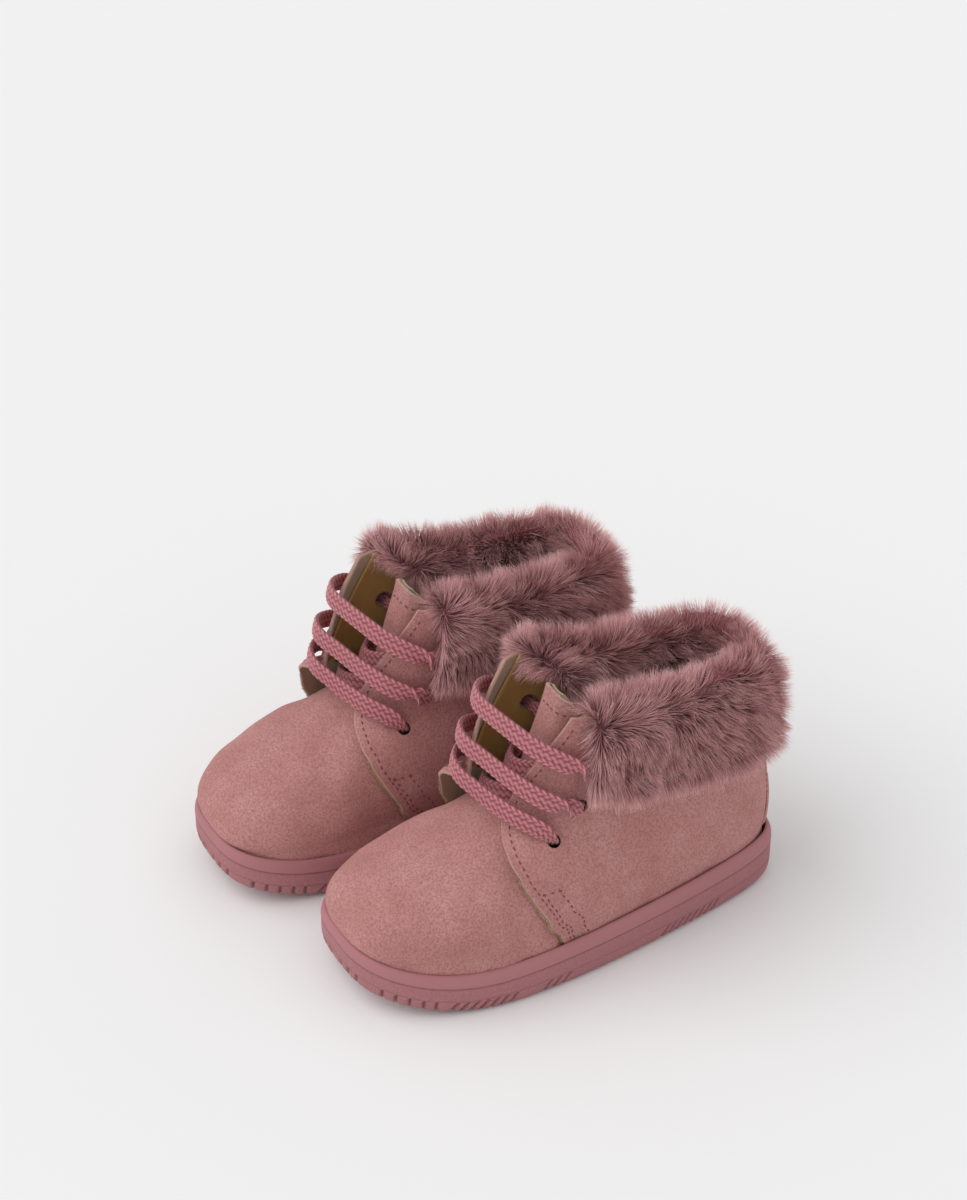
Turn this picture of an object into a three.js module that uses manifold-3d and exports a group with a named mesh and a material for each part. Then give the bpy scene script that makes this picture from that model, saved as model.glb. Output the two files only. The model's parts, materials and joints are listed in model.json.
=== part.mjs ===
// A pair of baby booties: derby uppers on cup soles, three-eyelet lacing and a folded fur collar.
// Millimetres, +Z up, toes to -Y. Each bootie is built about its own centre line, then placed.
import * as THREE from 'three';
import ManifoldModule from 'manifold-3d';

const { Manifold, Mesh: SolidMesh } = await startManifold();

const gap = 0.3;
const pair = { between: 1.5, stagger: 12 };
const sole = {
  length: 132, foreWidth: 62, heelWidth: 47, toeRound: 0.62, heelRound: 0.42,
  toeCurve: 3.3, curveShare: 0.34, wallToe: 12, wallHeel: 16, toeSpring: 7, springShare: 0.28,
  lip: 1.8, cupDepth: 5.5, flexGrooves: 8, grooveWidth: 2, grooveDepth: 1.3,
};
const bed = { board: 1.2, footbed: 2.6, edgeGap: 1.2 };
const upper = {
  lining: 0.5, stiffener: 0.5, suede: 1.1, facing: 0.7, collarHeight: 76, lapGap: 0.55,
  throatHeight: 44, flapFront: 0.36, overlap: 12,
};
const tongue = {
  width: 30, topWidth: 25, throatHalf: 15, throatSpread: 0.8, height: 78, sink: 4, sinkRise: 4, backing: 0.7,
};
const facing = {
  width: 18, backGap: 1.47, nearLift: 2.6, farLift: 9, liftWidth: 24, liftStart: 28, liftFull: 37,
};
const eyelets = { heights: [39, 49.5, 60], insets: [12, 13.5, 12], hole: 4.4, liningHole: 5.8 };
const fur = {
  pile: 8, innerPile: 6.5, riseFront: 8, riseHeel: 4.5, clearance: 0.8, frontTop: 1.5, frontSlope: 0.4,
  bottomFront: 51, bottomHeel: 44, innerBottom: 56, innerStart: 8,
};
const heelStrip = { width: 20, topWidth: 16, thickness: 0.9 };
const lace = {
  width: 5.5, thickness: 1.5, eyeletWidth: 2.4, eyeletReach: 3.4, aglet: 11, agletDiameter: 2.4,
};

// The foot shape, bottom to top: height, how far the toe end and the heel end stand back from the
// cup wall as shares of the sole's length, then how much narrower it is as shares of its widths.
const footShape = [
  [10, 0, 0, 0, 0],
  [17, 0, 0, 0, 0],
  [20.5, -0.008, -0.004, -0.015, -0.02],
  [24, 0.01, -0.005, 0, -0.02],
  [27, 0.044, -0.004, 0.035, -0.015],
  [30.5, 0.112, -0.001, 0.085, 0],
  [34, 0.205, 0.003, 0.14, 0.01],
  [38, 0.292, 0.007, 0.205, 0.02],
  [42, 0.35, 0.012, 0.26, 0.035],
  [48, 0.376, 0.02, 0.315, 0.065],
  [56, 0.394, 0.028, 0.36, 0.105],
  [66, 0.416, 0.032, 0.41, 0.16],
  [76, 0.438, 0.034, 0.45, 0.21],
  [90, 0.46, 0.03, 0.47, 0.22],
];
// Where the quarter's front edge lies: height, and distance round from the middle of the throat.
const flapEdge = [[10, 68], [18, 64], [24, 54], [30, 37], [35, 18.5], [38, 9.5], [41, 5], [44, 4],
  [52, 4.5], [62, 6], [74, 8], [82, 9]];

// The lace's centre line in each bootie, from the tail inside the near flap to the one inside the open flap.
const laceRoute = [
  [9.5, 38, 16.5], [11, 24, 16.5], [12.5, 12, 18.5], [13.5, 3, 25], [13.5, -4, 32], [13.5, -8.5, 37.5],
  [16, -10, 41], [18, -11, 43], [18.5, -12.5, 45.5], [17, -15, 48], [12.5, -19, 50], [4.5, -22.5, 51.5],
  [-1, -24.5, 53], [-6.5, -26, 54], [-12, -25, 54], [-17, -21.5, 53], [-21, -16.5, 50.5], [-21.5, -13, 47.5],
  [-20, -11.5, 45], [-18.5, -11, 43], [-16, -12.5, 43.5], [-12.5, -15.5, 45], [-7.5, -18, 47],
  [-1, -17.5, 49], [4.5, -13.5, 50], [8.5, -8.5, 50.5], [11.5, -4, 50], [14.5, -1, 50],
  [17, -2, 50.5], [19, -3.5, 51.5], [19, -8, 54], [15.5, -13.5, 56.5], [7.5, -18, 59], [-1, -21, 61],
  [-9.5, -23, 62], [-15, -21.5, 61.5], [-20, -17, 59], [-23, -10, 55.5], [-22, -4.5, 52.5],
  [-19.5, -2.5, 51], [-17, -2, 50.5], [-14, -4, 51], [-10.5, -8, 53], [-5.5, -11.5, 54.5], [0, -12.5, 56],
  [5, -10, 57.5], [9, -5, 59], [11, 0, 60], [13.5, 2.5, 60.5], [16.5, 2, 61], [18.5, 0.5, 62],
  [19, -3, 64.5], [16, -8.5, 67.5], [11, -12.5, 69.5], [4, -15.5, 71.5], [-4, -17.5, 72.5], [-11, -18, 72.5],
  [-17, -15.5, 71.5], [-21.5, -10, 69], [-23, -4.5, 65.5], [-22, -0.5, 63], [-19.5, 1.5, 61.5],
  [-17, 2, 61], [-13.5, 3.5, 60], [-11.5, 6, 57], [-11.5, 8, 51], [-12.5, 9, 42], [-13, 11, 32],
  [-12, 16, 22], [-11, 24, 16.5], [-9.5, 38, 16.5],
];

const layers = {
  stiffener: upper.lining + gap,
  vamp: upper.lining + upper.stiffener + 2 * gap,
  quarter: upper.lining + upper.stiffener + upper.suede + 2 * gap + upper.lapGap,
};
layers.vampFace = layers.vamp + upper.suede;
layers.quarterFace = layers.quarter + upper.suede;

const suede = material(0xb5827e, 0.95);
const rubber = material(0x9a666a, 0.7);
const laceYarn = material(0xb56a72, 0.85);
const furFabric = material(0x8f6264, 1);
const liningHide = material(0x8a6a3e, 0.8);
const felt = material(0x9b8670, 1);
const board = material(0xb39a7c, 0.9);
const plastic = material(0x8d4c58, 0.5);

async function startManifold() {
  const wasm = await ManifoldModule();
  wasm.setup();
  return wasm;
}

function material(color, roughness) {
  return new THREE.MeshStandardMaterial({ color, roughness, metalness: 0 });
}

const clamp01 = (value) => Math.min(Math.max(value, 0), 1);
const mix = (a, b, share) => a + (b - a) * share;
const smooth = (from, to, value) => {
  const share = clamp01((value - from) / (to - from));
  return share * share * (3 - 2 * share);
};

// Monotone cubic reading of one column of a table whose first column rises.
function readTable(table, column, at) {
  const last = table.length - 1;
  if (at <= table[0][0]) return table[0][column];
  if (at >= table[last][0]) return table[last][column];
  const slope = (i) => (table[i + 1][column] - table[i][column]) / (table[i + 1][0] - table[i][0]);
  const tangent = (i) => {
    if (i === 0) return slope(0);
    if (i === last) return slope(last - 1);
    const [before, after] = [slope(i - 1), slope(i)];
    return before * after <= 0 ? 0 : (2 * before * after) / (before + after);
  };
  const i = table.findIndex((row, n) => n < last && at < table[n + 1][0]);
  const step = table[i + 1][0] - table[i][0];
  const t = (at - table[i][0]) / step;
  const [h00, h10] = [2 * t ** 3 - 3 * t ** 2 + 1, t ** 3 - 2 * t ** 2 + t];
  const [h01, h11] = [-2 * t ** 3 + 3 * t ** 2, t ** 3 - t ** 2];
  return h00 * table[i][column] + h10 * step * tangent(i)
    + h01 * table[i + 1][column] + h11 * step * tangent(i + 1);
}

// Sole levels along its length.
const shareOf = (y) => clamp01((y + sole.length / 2) / sole.length);
const springAt = (y) => sole.toeSpring * clamp01((sole.springShare - shareOf(y)) / sole.springShare) ** 2;
const rimAt = (y) => springAt(y) + mix(sole.wallToe, sole.wallHeel, shareOf(y));
const floorAt = (y) => rimAt(y) - sole.cupDepth;
const toeShiftAt = (y) => -sole.toeCurve * clamp01(1 - shareOf(y) / sole.curveShare) ** 2;

// A point of a foot-shaped outline at turn 0 to 1 from the toe round the outside to the heel and back.
function planPoint(turn, front, back, foreWidth, heelWidth, insetAt) {
  const angle = turn * 2 * Math.PI;
  const share = (1 - Math.cos(angle)) / 2;
  const round = mix(sole.toeRound, sole.heelRound, share);
  const width = mix(foreWidth, heelWidth, share * share * (3 - 2 * share));
  const reach = Math.abs(Math.sin(angle)) < 1e-9 ? 0 : Math.abs(Math.sin(angle)) ** round;
  const y = mix(front, back, share);
  return [Math.sign(Math.sin(angle)) * reach * (width / 2 - insetAt(shareOf(y))) + toeShiftAt(y), y];
}

const soleLine = (turn, inset) => planPoint(turn, inset - sole.length / 2, sole.length / 2 - inset,
  sole.foreWidth, sole.heelWidth, () => inset);

// How far the foot shape stands in from the sole's outside: more where the quarters lie on top.
const upperInset = (share) => sole.lip + gap
  + mix(layers.vampFace, layers.quarterFace, smooth(upper.flapFront - 0.1, upper.flapFront - 0.03, share));

// The foot shape at one height, as points by distance round from the front middle.
const ringCache = new Map();
function ringAt(height) {
  const key = height.toFixed(3);
  if (ringCache.has(key)) return ringCache.get(key);
  const [toeBack, heelBack, foreIn, heelIn] = [1, 2, 3, 4].map((n) => readTable(footShape, n, height));
  const front = upperInset(0) + (toeBack - 0.5) * sole.length;
  const back = (0.5 - heelBack) * sole.length - upperInset(1);
  const [fore, heel] = [sole.foreWidth * (1 - foreIn), sole.heelWidth * (1 - heelIn)];
  const steps = 160;
  const points = [];
  let run = 0;
  for (let n = 0; n <= steps; n += 1) {
    const [x, y] = planPoint(0.5 * (n / steps) ** 1.5, front, back, fore, heel, upperInset);
    if (n > 0) run += Math.hypot(x - points[n - 1][0], y - points[n - 1][1]);
    points.push([x, y, run]);
  }
  const ring = { points, girth: run, middle: toeShiftAt(front), front, back };
  ringCache.set(key, ring);
  return ring;
}

const girthAt = (height) => ringAt(height).girth;

function footPoint(height, round) {
  const { points, girth } = ringAt(height);
  const run = Math.min(Math.abs(round), girth);
  let n = points.findIndex((point) => point[2] >= run);
  n = Math.max(n, 1);
  const [a, b] = [points[n - 1], points[n]];
  const share = (run - a[2]) / Math.max(b[2] - a[2], 1e-9);
  const [x, y] = [mix(a[0], b[0], share), mix(a[1], b[1], share)];
  const shift = toeShiftAt(y);
  return new THREE.Vector3(round < 0 ? 2 * shift - x : x, y, height);
}

// A point a given depth outside the foot shape, and the outward direction there.
function outward(height, round) {
  const [along, up] = [1.2, 0.8];
  const girth = girthAt(height) - along;
  const middle = Math.min(Math.max(round, -girth), girth);
  const across = footPoint(height, middle + along).sub(footPoint(height, middle - along));
  const rise = footPoint(height + up, middle).sub(footPoint(height - up, middle));
  const normal = across.cross(rise).normalize();
  if (Math.abs(round) > girth) normal.x *= clamp01((girthAt(height) - Math.abs(round)) / along);
  return normal.normalize();
}

const skin = (height, round, depth) =>
  footPoint(height, round).addScaledVector(outward(height, round), depth);

const edgeAt = (height) => readTable(flapEdge, 1, height);

// The facings stand off the tongue: `side` is +1 on the flap that lies flat, -1 on the open one.
function liftAt(height, round, side) {
  const behind = Math.abs(round) - edgeAt(height);
  const amount = side > 0 ? facing.nearLift : facing.farLift;
  const share = clamp01(1 - behind / facing.liftWidth);
  return amount * share * share * (3 - 2 * share) * smooth(facing.liftStart, facing.liftFull, height);
}

// Closed bodies.
function body(points, faces) {
  let volume = 0;
  for (const [a, b, c] of faces) {
    const [p, q, r] = [points[a], points[b], points[c]];
    volume += p.dot(new THREE.Vector3().crossVectors(q, r));
  }
  const order = volume < 0 ? ([a, b, c]) => [a, c, b] : (face) => face;
  return { points, faces: faces.map(order) };
}

function geometryOf({ points, faces }) {
  const geometry = new THREE.BufferGeometry();
  geometry.setAttribute('position', new THREE.Float32BufferAttribute(points.flatMap((p) => p.toArray()), 3));
  geometry.setIndex(faces.flat());
  geometry.computeVertexNormals();
  return geometry;
}

function solidOf({ points, faces }) {
  return Manifold.ofMesh(new SolidMesh({
    numProp: 3,
    vertProperties: new Float32Array(points.flatMap((p) => p.toArray())),
    triVerts: new Uint32Array(faces.flat()),
  }));
}

function bodyOf(solid) {
  const mesh = solid.getMesh();
  const points = [];
  for (let n = 0; n < mesh.numVert; n += 1) {
    points.push(new THREE.Vector3().fromArray(mesh.vertProperties, n * mesh.numProp));
  }
  const faces = [];
  for (let n = 0; n < mesh.numTri; n += 1) faces.push([...mesh.triVerts.slice(3 * n, 3 * n + 3)]);
  return body(points, faces);
}

// A panel between two depths. `place` turns shares across and up into height and distance round.
function panel(columns, rows, place, inner, outer) {
  const points = [];
  const at = (layer, i, j) => layer * (columns + 1) * (rows + 1) + j * (columns + 1) + i;
  for (const depth of [outer, inner]) {
    for (let j = 0; j <= rows; j += 1) {
      for (let i = 0; i <= columns; i += 1) {
        const [height, round] = place(i / columns, j / rows);
        points.push(skin(height, round, typeof depth === 'function' ? depth(height, round) : depth));
      }
    }
  }
  const faces = [];
  const quad = (a, b, c, d) => faces.push([a, b, c], [a, c, d]);
  for (let j = 0; j < rows; j += 1) {
    for (let i = 0; i < columns; i += 1) {
      quad(at(0, i, j), at(0, i + 1, j), at(0, i + 1, j + 1), at(0, i, j + 1));
      quad(at(1, i, j), at(1, i, j + 1), at(1, i + 1, j + 1), at(1, i + 1, j));
    }
  }
  for (let i = 0; i < columns; i += 1) {
    quad(at(0, i, 0), at(1, i, 0), at(1, i + 1, 0), at(0, i + 1, 0));
    quad(at(0, i, rows), at(0, i + 1, rows), at(1, i + 1, rows), at(1, i, rows));
  }
  for (let j = 0; j < rows; j += 1) {
    quad(at(0, 0, j), at(0, 0, j + 1), at(1, 0, j + 1), at(1, 0, j));
    quad(at(0, columns, j), at(1, columns, j), at(1, columns, j + 1), at(0, columns, j + 1));
  }
  return body(points, faces);
}

// Rows of closed rings joined one to the next, with both ends filled across the sole.
function stackedRings(rings) {
  const count = rings[0].length;
  const points = rings.flat();
  const faces = [];
  for (let k = 0; k + 1 < rings.length; k += 1) {
    for (let i = 0; i < count; i += 1) {
      const next = (i + 1) % count;
      faces.push([k * count + i, k * count + next, (k + 1) * count + next]);
      faces.push([k * count + i, (k + 1) * count + next, (k + 1) * count + i]);
    }
  }
  const fill = (start, flip) => {
    const put = (a, b, c) => faces.push(flip ? [a, c, b] : [a, b, c]);
    for (let i = 0; i < count / 2; i += 1) {
      const [a, b] = [start + i, start + i + 1];
      const [c, d] = [start + ((count - i) % count), start + count - i - 1];
      if (i > 0) put(a, c, b);
      if (i + 1 < count / 2) put(b, c, d);
    }
  };
  fill(0, false);
  fill((rings.length - 1) * count, true);
  return body(points, faces);
}

function soleRing(count, inset, level) {
  return Array.from({ length: count }, (unused, i) => {
    const [x, y] = soleLine(i / count, inset);
    return new THREE.Vector3(x, y, level(y));
  });
}

// The last flat outline of the foot, for what lies on the cup floor.
function floorRing(count, inset, level) {
  const { front, back } = ringAt(14);
  return Array.from({ length: count }, (unused, i) => {
    const [x, y] = planPoint(i / count, front + inset, back - inset, sole.foreWidth, sole.heelWidth,
      (share) => upperInset(share) + inset);
    return new THREE.Vector3(x, y, level(y));
  });
}

function outsole() {
  const count = 48;
  const wallLevel = (share) => (y) => mix(springAt(y), rimAt(y), share);
  const profile = [[2.4, 0], [0.5, 0.09], [0, 0.24], [0.1, 0.62], [0.55, 0.68], [0.15, 0.74], [0.4, 0.92],
    [1, 1], [sole.lip, 0.99]];
  const rings = profile.map(([inset, share]) => soleRing(count, inset, wallLevel(share)));
  rings.push(soleRing(count, sole.lip, floorAt));
  const grooves = [];
  for (let n = 0; n < sole.flexGrooves; n += 1) {
    const share = n < 5 ? 0.1 + 0.075 * n : 0.68 + 0.075 * (n - 5);
    const y = mix(-sole.length / 2, sole.length / 2, share);
    const cut = Manifold.cube([sole.foreWidth * 1.2, sole.grooveWidth, 2 * sole.grooveDepth], true);
    grooves.push(cut.translate([0, y, springAt(y)]));
  }
  return bodyOf(solidOf(stackedRings(rings)).subtract(Manifold.union(grooves)));
}

function floorLayer(from, to, inset) {
  const count = 32;
  return stackedRings([
    floorRing(count, inset, (y) => floorAt(y) + from),
    floorRing(count, inset, (y) => floorAt(y) + to),
  ]);
}

const insoleBoard = () => floorLayer(gap, gap + bed.board, bed.edgeGap);
const footbed = () => floorLayer(2 * gap + bed.board, 2 * gap + bed.board + bed.footbed, bed.edgeGap);

// The upper's lower edge stands just above the cup floor.
const footEdge = (round) => floorAt(skin(18, round, layers.vampFace).y) + gap;

// The vamp's top edge falls from the throat to the sides, where the quarters cover it.
const vampTop = (across) => mix(upper.throatHeight, 31, smooth(0.58, 0.95, Math.abs(across)));
const wingEnd = (height) => edgeAt(height) + upper.overlap;

function vampPlace(inset) {
  return (a, b) => {
    const across = 2 * a - 1;
    const top = vampTop(across) - inset;
    const bottom = 17;
    const height = b === 0 ? 0 : mix(bottom, top, Math.max(0, (b - 0.12) / 0.88) ** 0.85);
    const round = across * (wingEnd(Math.max(height, bottom)) - inset);
    return [b === 0 ? footEdge(round) : height, round];
  };
}

const vamp = () => panel(18, 9, vampPlace(0), layers.vamp, layers.vampFace);
const vampLining = () => panel(18, 9, vampPlace(0), 0, upper.lining);

// The puff stiffens the toe under the vamp, on the vamp's own grid.
function toePuff() {
  const place = (a, b) => vampPlace(0)(mix(4 / 18, 14 / 18, a), b * 4 / 9);
  return panel(10, 4, place, layers.stiffener, layers.stiffener + upper.stiffener);
}

function heelCounter() {
  const place = (a, b) => {
    const across = Math.max(Math.abs(2 * a - 1), 1e-6) * Math.sign(2 * a - 1 || 1);
    const height = mix(17, 40, b) - 9 * across * across * b;
    const reach = Math.min(38, 38 - 8 * b);
    const round = a <= 0.5 ? girthAt(height) - reach * (1 - 2 * a) : -girthAt(height) + reach * (2 * a - 1);
    return [b === 0 ? footEdge(round) : height, round];
  };
  return panel(14, 5, place, layers.stiffener + 0.2, layers.stiffener + 1.2);
}

const tongueHalf = (height) => {
  const share = clamp01((height - upper.throatHeight) / (tongue.height - upper.throatHeight));
  const widest = tongue.throatHalf + tongue.throatSpread * (height - upper.throatHeight);
  const half = Math.min(mix(tongue.width, tongue.topWidth, share) / 2, widest);
  const round = clamp01((height - (tongue.height - 9)) / 9);
  return half * Math.sqrt(Math.max(1 - round ** 2.2, 0.12));
};
const sinkAt = (height) =>
  tongue.sink * smooth(upper.throatHeight, upper.throatHeight + tongue.sinkRise, height);

function tonguePanel(columns, rows, inner, outer, inset) {
  const place = (a, b) => {
    const height = mix(upper.throatHeight + gap + inset, tongue.height - inset, b ** 0.9);
    return [height, (2 * a - 1) * (tongueHalf(height) - inset)];
  };
  return panel(columns, rows, place, (height) => inner - sinkAt(height), (height) => outer - sinkAt(height));
}

const tongueSuede = () => tonguePanel(6, 8, layers.vamp, layers.vampFace, 0);
const tongueLining = () => tonguePanel(6, 8, layers.vamp - gap - tongue.backing, layers.vamp - gap, 0);

// Quarters run from their front edge to the back seam; `hand` is +1 on the outer side of the foot.
function quarterPlace(hand) {
  return (a, b) => {
    const bottom = 17;
    const height = b === 0 ? bottom : mix(bottom, upper.collarHeight, ((b - 0.1) / 0.9) ** 0.95);
    const round = hand * mix(edgeAt(height), girthAt(height) - gap / 2, a ** 1.15);
    return [b === 0 ? footEdge(round) : height, round];
  };
}

function withEyelets(panelBody, hand, width) {
  let solid = solidOf(panelBody);
  for (const [n, height] of eyelets.heights.entries()) {
    const round = hand * (edgeAt(height) + eyelets.insets[n]);
    const centre = skin(height, round, layers.quarter);
    const turn = new THREE.Quaternion();
    turn.setFromUnitVectors(new THREE.Vector3(0, 0, 1), outward(height, round));
    const frame = new THREE.Matrix4().compose(centre, turn, new THREE.Vector3(1, 1, 1));
    solid = solid.subtract(Manifold.cylinder(24, width / 2, width / 2, 12, true).transform(frame.elements));
  }
  return bodyOf(solid);
}

function quarter(hand, side) {
  const lift = (depth) => (height, round) => depth + liftAt(height, round, side);
  const place = quarterPlace(hand);
  const flap = panel(14, 10, place, lift(layers.quarter), lift(layers.quarterFace));
  return withEyelets(flap, hand, eyelets.hole);
}

function facingLining(hand, side) {
  const outer = layers.quarter - facing.backGap;
  const inner = outer - upper.facing;
  const lift = (depth) => (height, round) => depth + liftAt(height, round, side);
  const place = (a, b) => {
    const height = mix(37, upper.collarHeight, b);
    return [height, hand * (edgeAt(height) + 0.8 + a * facing.width)];
  };
  return withEyelets(panel(6, 8, place, lift(inner), lift(outer)), hand, eyelets.liningHole);
}

function quarterLining(hand) {
  const place = (a, b) => {
    const bottom = 17;
    const height = b === 0 ? bottom : mix(bottom, upper.collarHeight, (b - 0.1) / 0.9);
    const from = edgeAt(height) + Math.max(facing.width, upper.overlap) + 2;
    const round = hand * mix(from, girthAt(height) - gap / 2, a);
    return [b === 0 ? footEdge(round) : height, round];
  };
  return panel(12, 7, place, 0, upper.lining);
}

function heelStripBody() {
  const place = (a, b) => {
    const height = mix(rimAt(sole.length / 2) + 1, fur.bottomHeel - 1, b);
    const reach = mix(heelStrip.width, heelStrip.topWidth, b) / 2;
    const round = a <= 0.5 ? girthAt(height) - reach * (1 - 2 * a) : -girthAt(height) + reach * (2 * a - 1);
    return [height, round];
  };
  const inner = layers.quarterFace + upper.lapGap;
  return panel(6, 3, place, inner, inner + heelStrip.thickness);
}

// The fur is one band folded over the collar: an upside-down U swept round the ankle.
function furCuff(hand) {
  const steps = 28;
  const rim = upper.collarHeight + gap;
  const section = (along, side) => {
    const bottom = mix(fur.bottomFront, fur.bottomHeel, 1 - along * along);
    const overLace = (lace.thickness + fur.clearance) * smooth(0.72, 0.82, along);
    const near = layers.quarterFace + fur.clearance + overLace;
    const full = near + fur.pile * Math.sqrt(clamp01(1 - 0.85 * clamp01((along - 0.86) / 0.14) ** 2));
    const top = rim + mix(fur.riseHeel, fur.riseFront, along);
    const inner = -fur.clearance - fur.innerPile;
    const ring = [[near, bottom + 1], [mix(near, full, 0.6), bottom], [full, bottom + 5],
      [full, mix(bottom, top, 0.55)], [mix(near, full, 0.75), top - 7], [mix(near, full, 0.3), top - 2],
      [1.5, top], [-3, top - 2.5], [inner, top - 7], [inner, fur.innerBottom + 4],
      [-fur.clearance, fur.innerBottom], [-fur.clearance, rim], [near, rim]];
    return ring.map(([depth, height]) => {
      const girth = girthAt(height);
      const from = start(height) + (depth < 0 ? fur.innerStart : 0);
      const round = side * (girth - along * (girth - from));
      return [depth, height, round];
    });
  };
  const start = (height) => edgeAt(height) + fur.frontTop + fur.frontSlope * (rim + fur.riseFront - height);
  const points = [];
  const count = section(0, 1).length;
  for (let n = 0; n <= steps; n += 1) {
    const across = 2 * n / steps - 1;
    const along = Math.abs(across);
    const side = across < 0 ? 1 : -1;
    for (const [depth, height, round] of section(along, side)) {
      const lift = depth > 1 ? liftAt(height, round, side * hand) : 0;
      points.push(skin(height, round, depth + lift));
    }
  }
  const faces = [];
  for (let n = 0; n < steps; n += 1) {
    for (let k = 0; k < count; k += 1) {
      const [a, b] = [n * count + k, n * count + (k + 1) % count];
      faces.push([a, b, b + count], [a, b + count, a + count]);
    }
  }
  const outline = section(1, 1).map(([depth, height]) => new THREE.Vector2(depth, height));
  const cap = THREE.ShapeUtils.triangulateShape(outline, []);
  const turned = THREE.ShapeUtils.isClockWise(outline);
  const last = steps * count;
  for (const [a, b, c] of cap) {
    faces.push(turned ? [a, c, b].reverse() : [a, c, b]);
    faces.push(turned ? [last + a, last + b, last + c].reverse() : [last + a, last + b, last + c]);
  }
  return body(points, faces);
}

// The lace is a flat band, drawn in where it passes an eyelet.
function laceBody() {
  const [steps, sides] = [78, 8];
  const route = laceRoute.map((p) => new THREE.Vector3(...p));
  const curve = new THREE.CatmullRomCurve3(route, false, 'centripetal');
  const holes = eyelets.heights.flatMap((height, n) => [1, -1].map((side) => {
    const round = side * (edgeAt(height) + eyelets.insets[n]);
    return skin(height, round, layers.quarter + liftAt(height, round, side));
  }));
  const points = [];
  const flat = new THREE.Vector3(0, 0, 1);
  for (let n = 0; n <= steps; n += 1) {
    const centre = curve.getPoint(n / steps);
    const tangent = curve.getTangent(n / steps);
    const away = new THREE.Vector3(centre.x, centre.y - 2, 5 + 3 * Math.max(0, 30 - centre.z)).normalize();
    flat.addScaledVector(away, 1.5 * away.clone().cross(tangent).lengthSq());
    flat.addScaledVector(tangent, -flat.dot(tangent)).normalize();
    const across = new THREE.Vector3().crossVectors(tangent, flat);
    const reach = Math.min(...holes.map((hole) => hole.distanceTo(centre)));
    const open = smooth(lace.eyeletReach - 1, lace.eyeletReach + 3, reach);
    const width = mix(lace.eyeletWidth, lace.width, open);
    for (let k = 0; k < sides; k += 1) {
      const angle = ((k + 0.5) / sides) * 2 * Math.PI;
      const [wide, thick] = [Math.cos(angle), Math.sin(angle)].map((v) => Math.sign(v) * Math.abs(v) ** 0.7);
      points.push(centre.clone().addScaledVector(across, wide * width / 2)
        .addScaledVector(flat, thick * lace.thickness / 2));
    }
  }
  const faces = [];
  for (let n = 0; n < steps; n += 1) {
    for (let k = 0; k < sides; k += 1) {
      const [a, b] = [n * sides + k, n * sides + (k + 1) % sides];
      faces.push([a, b, b + sides], [a, b + sides, a + sides]);
    }
  }
  for (let k = 1; k + 1 < sides; k += 1) {
    faces.push([0, k + 1, k]);
    faces.push([steps * sides, steps * sides + k, steps * sides + k + 1]);
  }
  return body(points, faces);
}

// The plastic tip on one end of the lace: `from` is the route's end and `next` the point before it.
function aglet(from, next) {
  const end = new THREE.Vector3(...from);
  const direction = end.clone().sub(new THREE.Vector3(...next)).normalize();
  const tip = new THREE.Mesh(new THREE.CylinderGeometry(lace.agletDiameter / 2, lace.agletDiameter / 2,
    lace.aglet, 10), plastic);
  tip.position.copy(end).addScaledVector(direction, lace.aglet / 2 + gap);
  tip.quaternion.setFromUnitVectors(new THREE.Vector3(0, 1, 0), direction);
  return tip;
}

function leftAndRight() {
  const group = new THREE.Group();
  const addBootie = (name, hand, x, y) => {
    const bootie = new THREE.Group();
    bootie.position.set(x, y, 0);
    const add = (part, { points, faces }, finish) => {
      const placed = body(points.map((p) => new THREE.Vector3(p.x * hand, p.y, p.z)), faces);
      const mesh = new THREE.Mesh(geometryOf(placed), finish);
      mesh.name = `${name}_${part}`;
      bootie.add(mesh);
    };
    add('outsole', outsole(), rubber);
    add('insole_board', insoleBoard(), board);
    add('footbed', footbed(), felt);
    add('vamp_lining', vampLining(), felt);
    add('toe_puff', toePuff(), board);
    add('vamp', vamp(), suede);
    add('tongue', tongueSuede(), suede);
    add('tongue_lining', tongueLining(), felt);
    add('heel_counter', heelCounter(), board);
    for (const [side, sign] of [['lateral', 1], ['medial', -1]]) {
      add(`${side}_quarter`, quarter(sign, sign * hand), suede);
      add(`${side}_facing_lining`, facingLining(sign, sign * hand), liningHide);
      add(`${side}_quarter_lining`, quarterLining(sign), felt);
    }
    add('heel_strip', heelStripBody(), suede);
    add('fur_cuff', furCuff(hand), furFabric);
    const cord = new THREE.Mesh(geometryOf(laceBody()), laceYarn);
    cord.name = `${name}_lace`;
    const nearTip = aglet(laceRoute[0], laceRoute[1]);
    nearTip.name = `${name}_near_aglet`;
    const farTip = aglet(laceRoute.at(-1), laceRoute.at(-2));
    farTip.name = `${name}_far_aglet`;
    bootie.add(cord, nearTip, farTip);
    group.add(bootie);
  };
  const apart = (sole.foreWidth + pair.between) / 2;
  addBootie('left', 1, apart, pair.stagger / 2);
  addBootie('right', -1, -apart, -pair.stagger / 2);
  return group;
}

// Stands the pair on z = 0 with the middle of its outside box at the origin.
function centred(group) {
  const box = new THREE.Box3().setFromObject(group, true);
  const middle = box.getCenter(new THREE.Vector3());
  for (const bootie of group.children) {
    bootie.position.x -= middle.x;
    bootie.position.y -= middle.y;
    bootie.position.z -= box.min.z;
  }
  return group;
}

const booties = centred(leftAndRight());
export default booties;
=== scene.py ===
import json
import math

import bmesh
import bpy
import numpy as np
from mathutils import Matrix, Vector


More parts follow.
